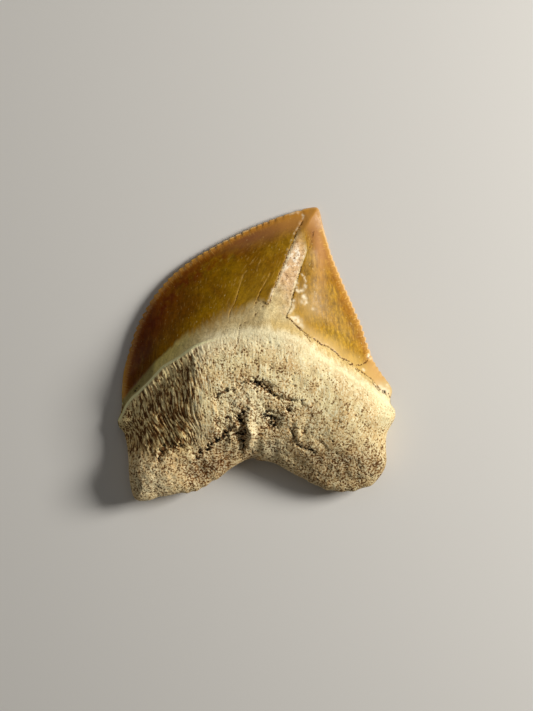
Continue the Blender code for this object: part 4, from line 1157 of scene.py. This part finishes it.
def rootColour(place, long, grains):
    paint = rootPaint
    cloud = between(speckle(place, 1.8, 3.0), 0.36, 0.64)
    colour = blend(cloud, paint["tan"], paint["cream"])
    warmth = between(speckle(place, 0.9, 3.0, 0.6), 0.52, 0.72, 0.0, 0.26)
    colour = blend(warmth, colour, paint["warm"])
    colour = blend(mark("lower") * 0.55, colour, paint["lower"])
    # pale root top, painted light, and a painted highlight on the median ridge
    paleAndPaintedLight = larger(mark("top") * 0.6, mark("lip") * 0.9)
    colour = blend(paleAndPaintedLight, colour, paint["pale"])
    # stains, and painted shadow beside the median ridge
    colour = blend(mark("stain") * 0.8, colour, paint["stain"])
    rough = mark("rough")
    valley = between(mark("ridge"), 0.1, 0.6, 1.0, 0.0) * rough
    colour = blend(valley * 0.31, colour, paint["brown"])

    # painted shade around the crevices and on the shaded mesial side, with the stains, brings more dark
    # specks
    gloom = larger(larger(mark("gloom") * 0.8, mark("shade") * 0.9), mark("stain") * 0.6)
    pale = between(grains, 0.51, 0.58) * (mark("lower") * -0.35 + 0.85)
    colour = blend(pale, colour, paint["pale"])
    gloom = gloom - mark("top") * 0.5
    level = gloom * -0.08 + grains
    level = mark("clean") * 0.02 + level
    level = (speckle(place, 1.0, 3.0, 0.7) - 0.5) * 0.3 + level
    mottle = between(speckle(long, 0.34, 3.0), 0.49, 0.64, 0.0, 0.42) * rough
    colour = blend(mottle, colour, paint["warm"])
    for name, high, low in (("speck", 0.47, 0.425), ("dark", 0.41, 0.34)):
        colour = blend(between(level, high, low) * rough * 0.85, colour, paint[name])
    colour = blend(mark("pore") * 0.6, colour, paint["pore"])
    # painted shade on the root's right side, which the key lamp lights most
    colour = shaded(colour, paint["sunlit"], mark("gloss"))
    return shaded(colour, paint["shade"], between(mark("shade"), 0.0, 1.0, 0.2, 1.0))

surface = {
    "roughness": ((0.26, 0.4), (0.42, 0.58), (0.7, 0.85)),  # enamel, dentine, root
    "specular": 0.13,
    "bumpStrength": 0.8,
    "bumpDepth": 0.00008,
}

def fossilFinish():
    material = bpy.data.materials.new("fossil tooth")
    material.use_nodes = True
    bench["tree"] = material.node_tree
    shader = material.node_tree.nodes["Principled BSDF"]
    place = scaled(made("ShaderNodeTexCoord", output="Object"), metre)
    long = squeezed(mark("fibre", "Vector"), (1.0, 0.18, 1.0))
    granular = speckle(place, 0.18, 2.0, 0.62)
    strands = speckle(long, 0.19, 2.0, 0.62)
    strandShare = mark("fibrous") * (mark("belowShield") * -0.6 + 1.0)
    grains = pick(strandShare, granular, strands)
    streaks = speckle(squeezed(mark("growth", "Vector"), (1.0, 0.1, 0.6)), 0.32, 3.0, 0.6)

    feather = (streaks - 0.5) * 0.9 + mark("fade")
    mesialCover = between(feather, 0.0, 1.0)
    distalCover = between(mark("aboveDistalBase"), -0.03, 0.03)
    cover = pick(mark("distal"), mesialCover, distalCover)
    stripOpen = between(mark("strip"), -0.02, 0.03) * mark("stripFade")
    cover = cover * (1.0 - stripOpen)
    colour = blend(cover, bareColour(place, streaks), enamelColour(place, streaks))
    raggedness = mark("crisp") * -1.1 + 1.2
    ragged = (streaks - 0.5) * raggedness + mark("aboveRim")
    belowRim = between(ragged, -0.25, 0.15, 1.0, 0.0)
    colour = blend(belowRim, colour, rootColour(place, long, grains))
    # partly painted highlight: a bright line along the root's rim over its pale colour, strongest on the
    # mesial side
    rim = between(abs(mark("aboveRim") + 0.12), 0.05, 0.16, 1.0, 0.0)
    colour = blend(rim * mark("crisp"), colour, barePaint["crest"])
    colour = blend(mark("hair") * 0.5, colour, enamelPaint["scratch"])
    # pale chips, with painted glints on them
    colour = blend(mark("chip"), colour, enamelPaint["chip"])
    patchy = between(speckle(place, 0.2, 2.0, 0.7), 0.32, 0.62, 1.4, 0.45)
    broken = between(speckle(place, 0.16, 1.0), 0.35, 0.6, 1.3, 0.3)
    cracked = between(mark("crack") * broken, 0.12, 0.6, 0.0, 0.95)
    colour = blend(cracked, colour, rootPaint["crack"])
    dark = mark("crevice") * patchy
    colour = blend(between(dark, 0.15, 0.75), colour, rootPaint["black"])
    feed(shader, "Base Color", colour)

    wear = speckle(place, 0.5, 4.0, 0.6)
    roughs = [between(wear, 0.35, 0.65, *values) for values in surface["roughness"]]
    enamelRough, bareRough, rootRough = roughs
    feed(shader, "Roughness", pick(belowRim, pick(cover, bareRough, enamelRough), rootRough))

    flaky = speckle(place, 0.25, 4.0, 0.6)
    height = pick(belowRim, pick(cover, flaky, streaks * 0.25), grains * 1.5)
    bump = {"Height": height, "Strength": surface["bumpStrength"], "Distance": surface["bumpDepth"]}
    feed(shader, "Normal", made("ShaderNodeBump", bump))
    feed(shader, "Specular IOR Level", surface["specular"])
    return material

tooth = bpy.data.objects.new("fossil_tooth", toothMesh)
bpy.context.scene.collection.objects.link(tooth)
finish = fossilFinish()
for tree, values in ((denticleTree(), cuttingEdges), (fibreTree(), rootFibres), (poreTree(), rootPores)):
    useTree(tooth, tree, {**values, "material": finish})
graph = bpy.context.evaluated_depsgraph_get()
dressed = tooth.evaluated_get(graph)
plainMesh = bpy.data.meshes.new_from_object(dressed, preserve_all_data_layers=True, depsgraph=graph)
tooth.modifiers.clear()
tooth.data = plainMesh
plainMesh.name = "fossil_tooth"
plainMesh.shade_smooth()
print("denticles, fibres and pores made:", len(plainMesh.polygons), "faces")
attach(tooth, "root")
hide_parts("shark_tooth")

# Floor, light and camera
studio = {
    "imageSize": (533, 711),
    "pixelsPerMillimetre": 277 / 26,
    "toothCentre": (256.5, 353.5),  # in the image
    "lens": 100.0,
    "sensor": 36.0,
    "nearestSeen": 0.005,  # metres
    "focusHeight": 1.2,
    "floorReach": 0.6,  # metres, as are the lamps' places and sizes
    "floorColour": (0.72, 0.71, 0.69, 1.0),
    "floorRoughness": 0.9,
    "lamps": {  # place, size, power, colour
        "key": ((0.188, 0.052, 0.118), 0.08, 0.64, (1.0, 0.965, 0.90)),
        "fill": ((-0.03, 0.08, 0.16), 0.16, 0.025, (1.0, 0.97, 0.92)),
    },
    "lampTarget": (0, 0, 0.002),
    "skyColour": (1.0, 0.95, 0.88, 1.0),
    "skyStrength": 0.07,
}

def aim(thing, target):
    direction = Vector(target) - thing.location
    thing.rotation_euler = direction.to_track_quat("-Z", "Y").to_euler()

def addArea(name, place, size, power, colour):
    light = bpy.data.lights.new(name, "AREA")
    light.size = size
    light.energy = power
    light.color = colour
    lamp = bpy.data.objects.new(name, light)
    bpy.context.scene.collection.objects.link(lamp)
    lamp.location = place
    aim(lamp, studio["lampTarget"])

def addFloor():
    mesh = bpy.data.meshes.new("floor")
    reach = studio["floorReach"]
    corners = [(-reach, -reach, 0), (reach, -reach, 0), (reach, reach, 0), (-reach, reach, 0)]
    mesh.from_pydata(corners, [], [(0, 1, 2, 3)])
    floor = bpy.data.objects.new("floor", mesh)
    bpy.context.scene.collection.objects.link(floor)
    paper = bpy.data.materials.new("pale floor")
    paper.use_nodes = True
    shader = paper.node_tree.nodes["Principled BSDF"]
    shader.inputs["Base Color"].default_value = studio["floorColour"]
    shader.inputs["Roughness"].default_value = studio["floorRoughness"]
    mesh.materials.append(paper)

def addCamera():
    width, height = studio["imageSize"]
    scale = 1 / studio["pixelsPerMillimetre"]
    shiftX = (width / 2 - studio["toothCentre"][0]) * scale
    shiftY = (studio["toothCentre"][1] - height / 2) * scale
    distance = height * scale * studio["lens"] / studio["sensor"]
    camera = bpy.data.objects.new("camera", bpy.data.cameras.new("camera"))
    bpy.context.scene.collection.objects.link(camera)
    camera.data.lens = studio["lens"]
    camera.data.sensor_width = studio["sensor"]
    camera.data.clip_start = studio["nearestSeen"]
    camera.location = (shiftX / metre, shiftY / metre, (distance + studio["focusHeight"]) / metre)
    bpy.context.scene.camera = camera

addFloor()
for name, values in studio["lamps"].items():
    addArea(name, *values)
world = bpy.data.worlds.new("studio")
world.use_nodes = True
sky = world.node_tree.nodes["Background"]
sky.inputs["Color"].default_value = studio["skyColour"]
sky.inputs["Strength"].default_value = studio["skyStrength"]
bpy.context.scene.world = world
bpy.context.scene.view_settings.view_transform = "Standard"
addCamera()
print("floor, light and camera set")
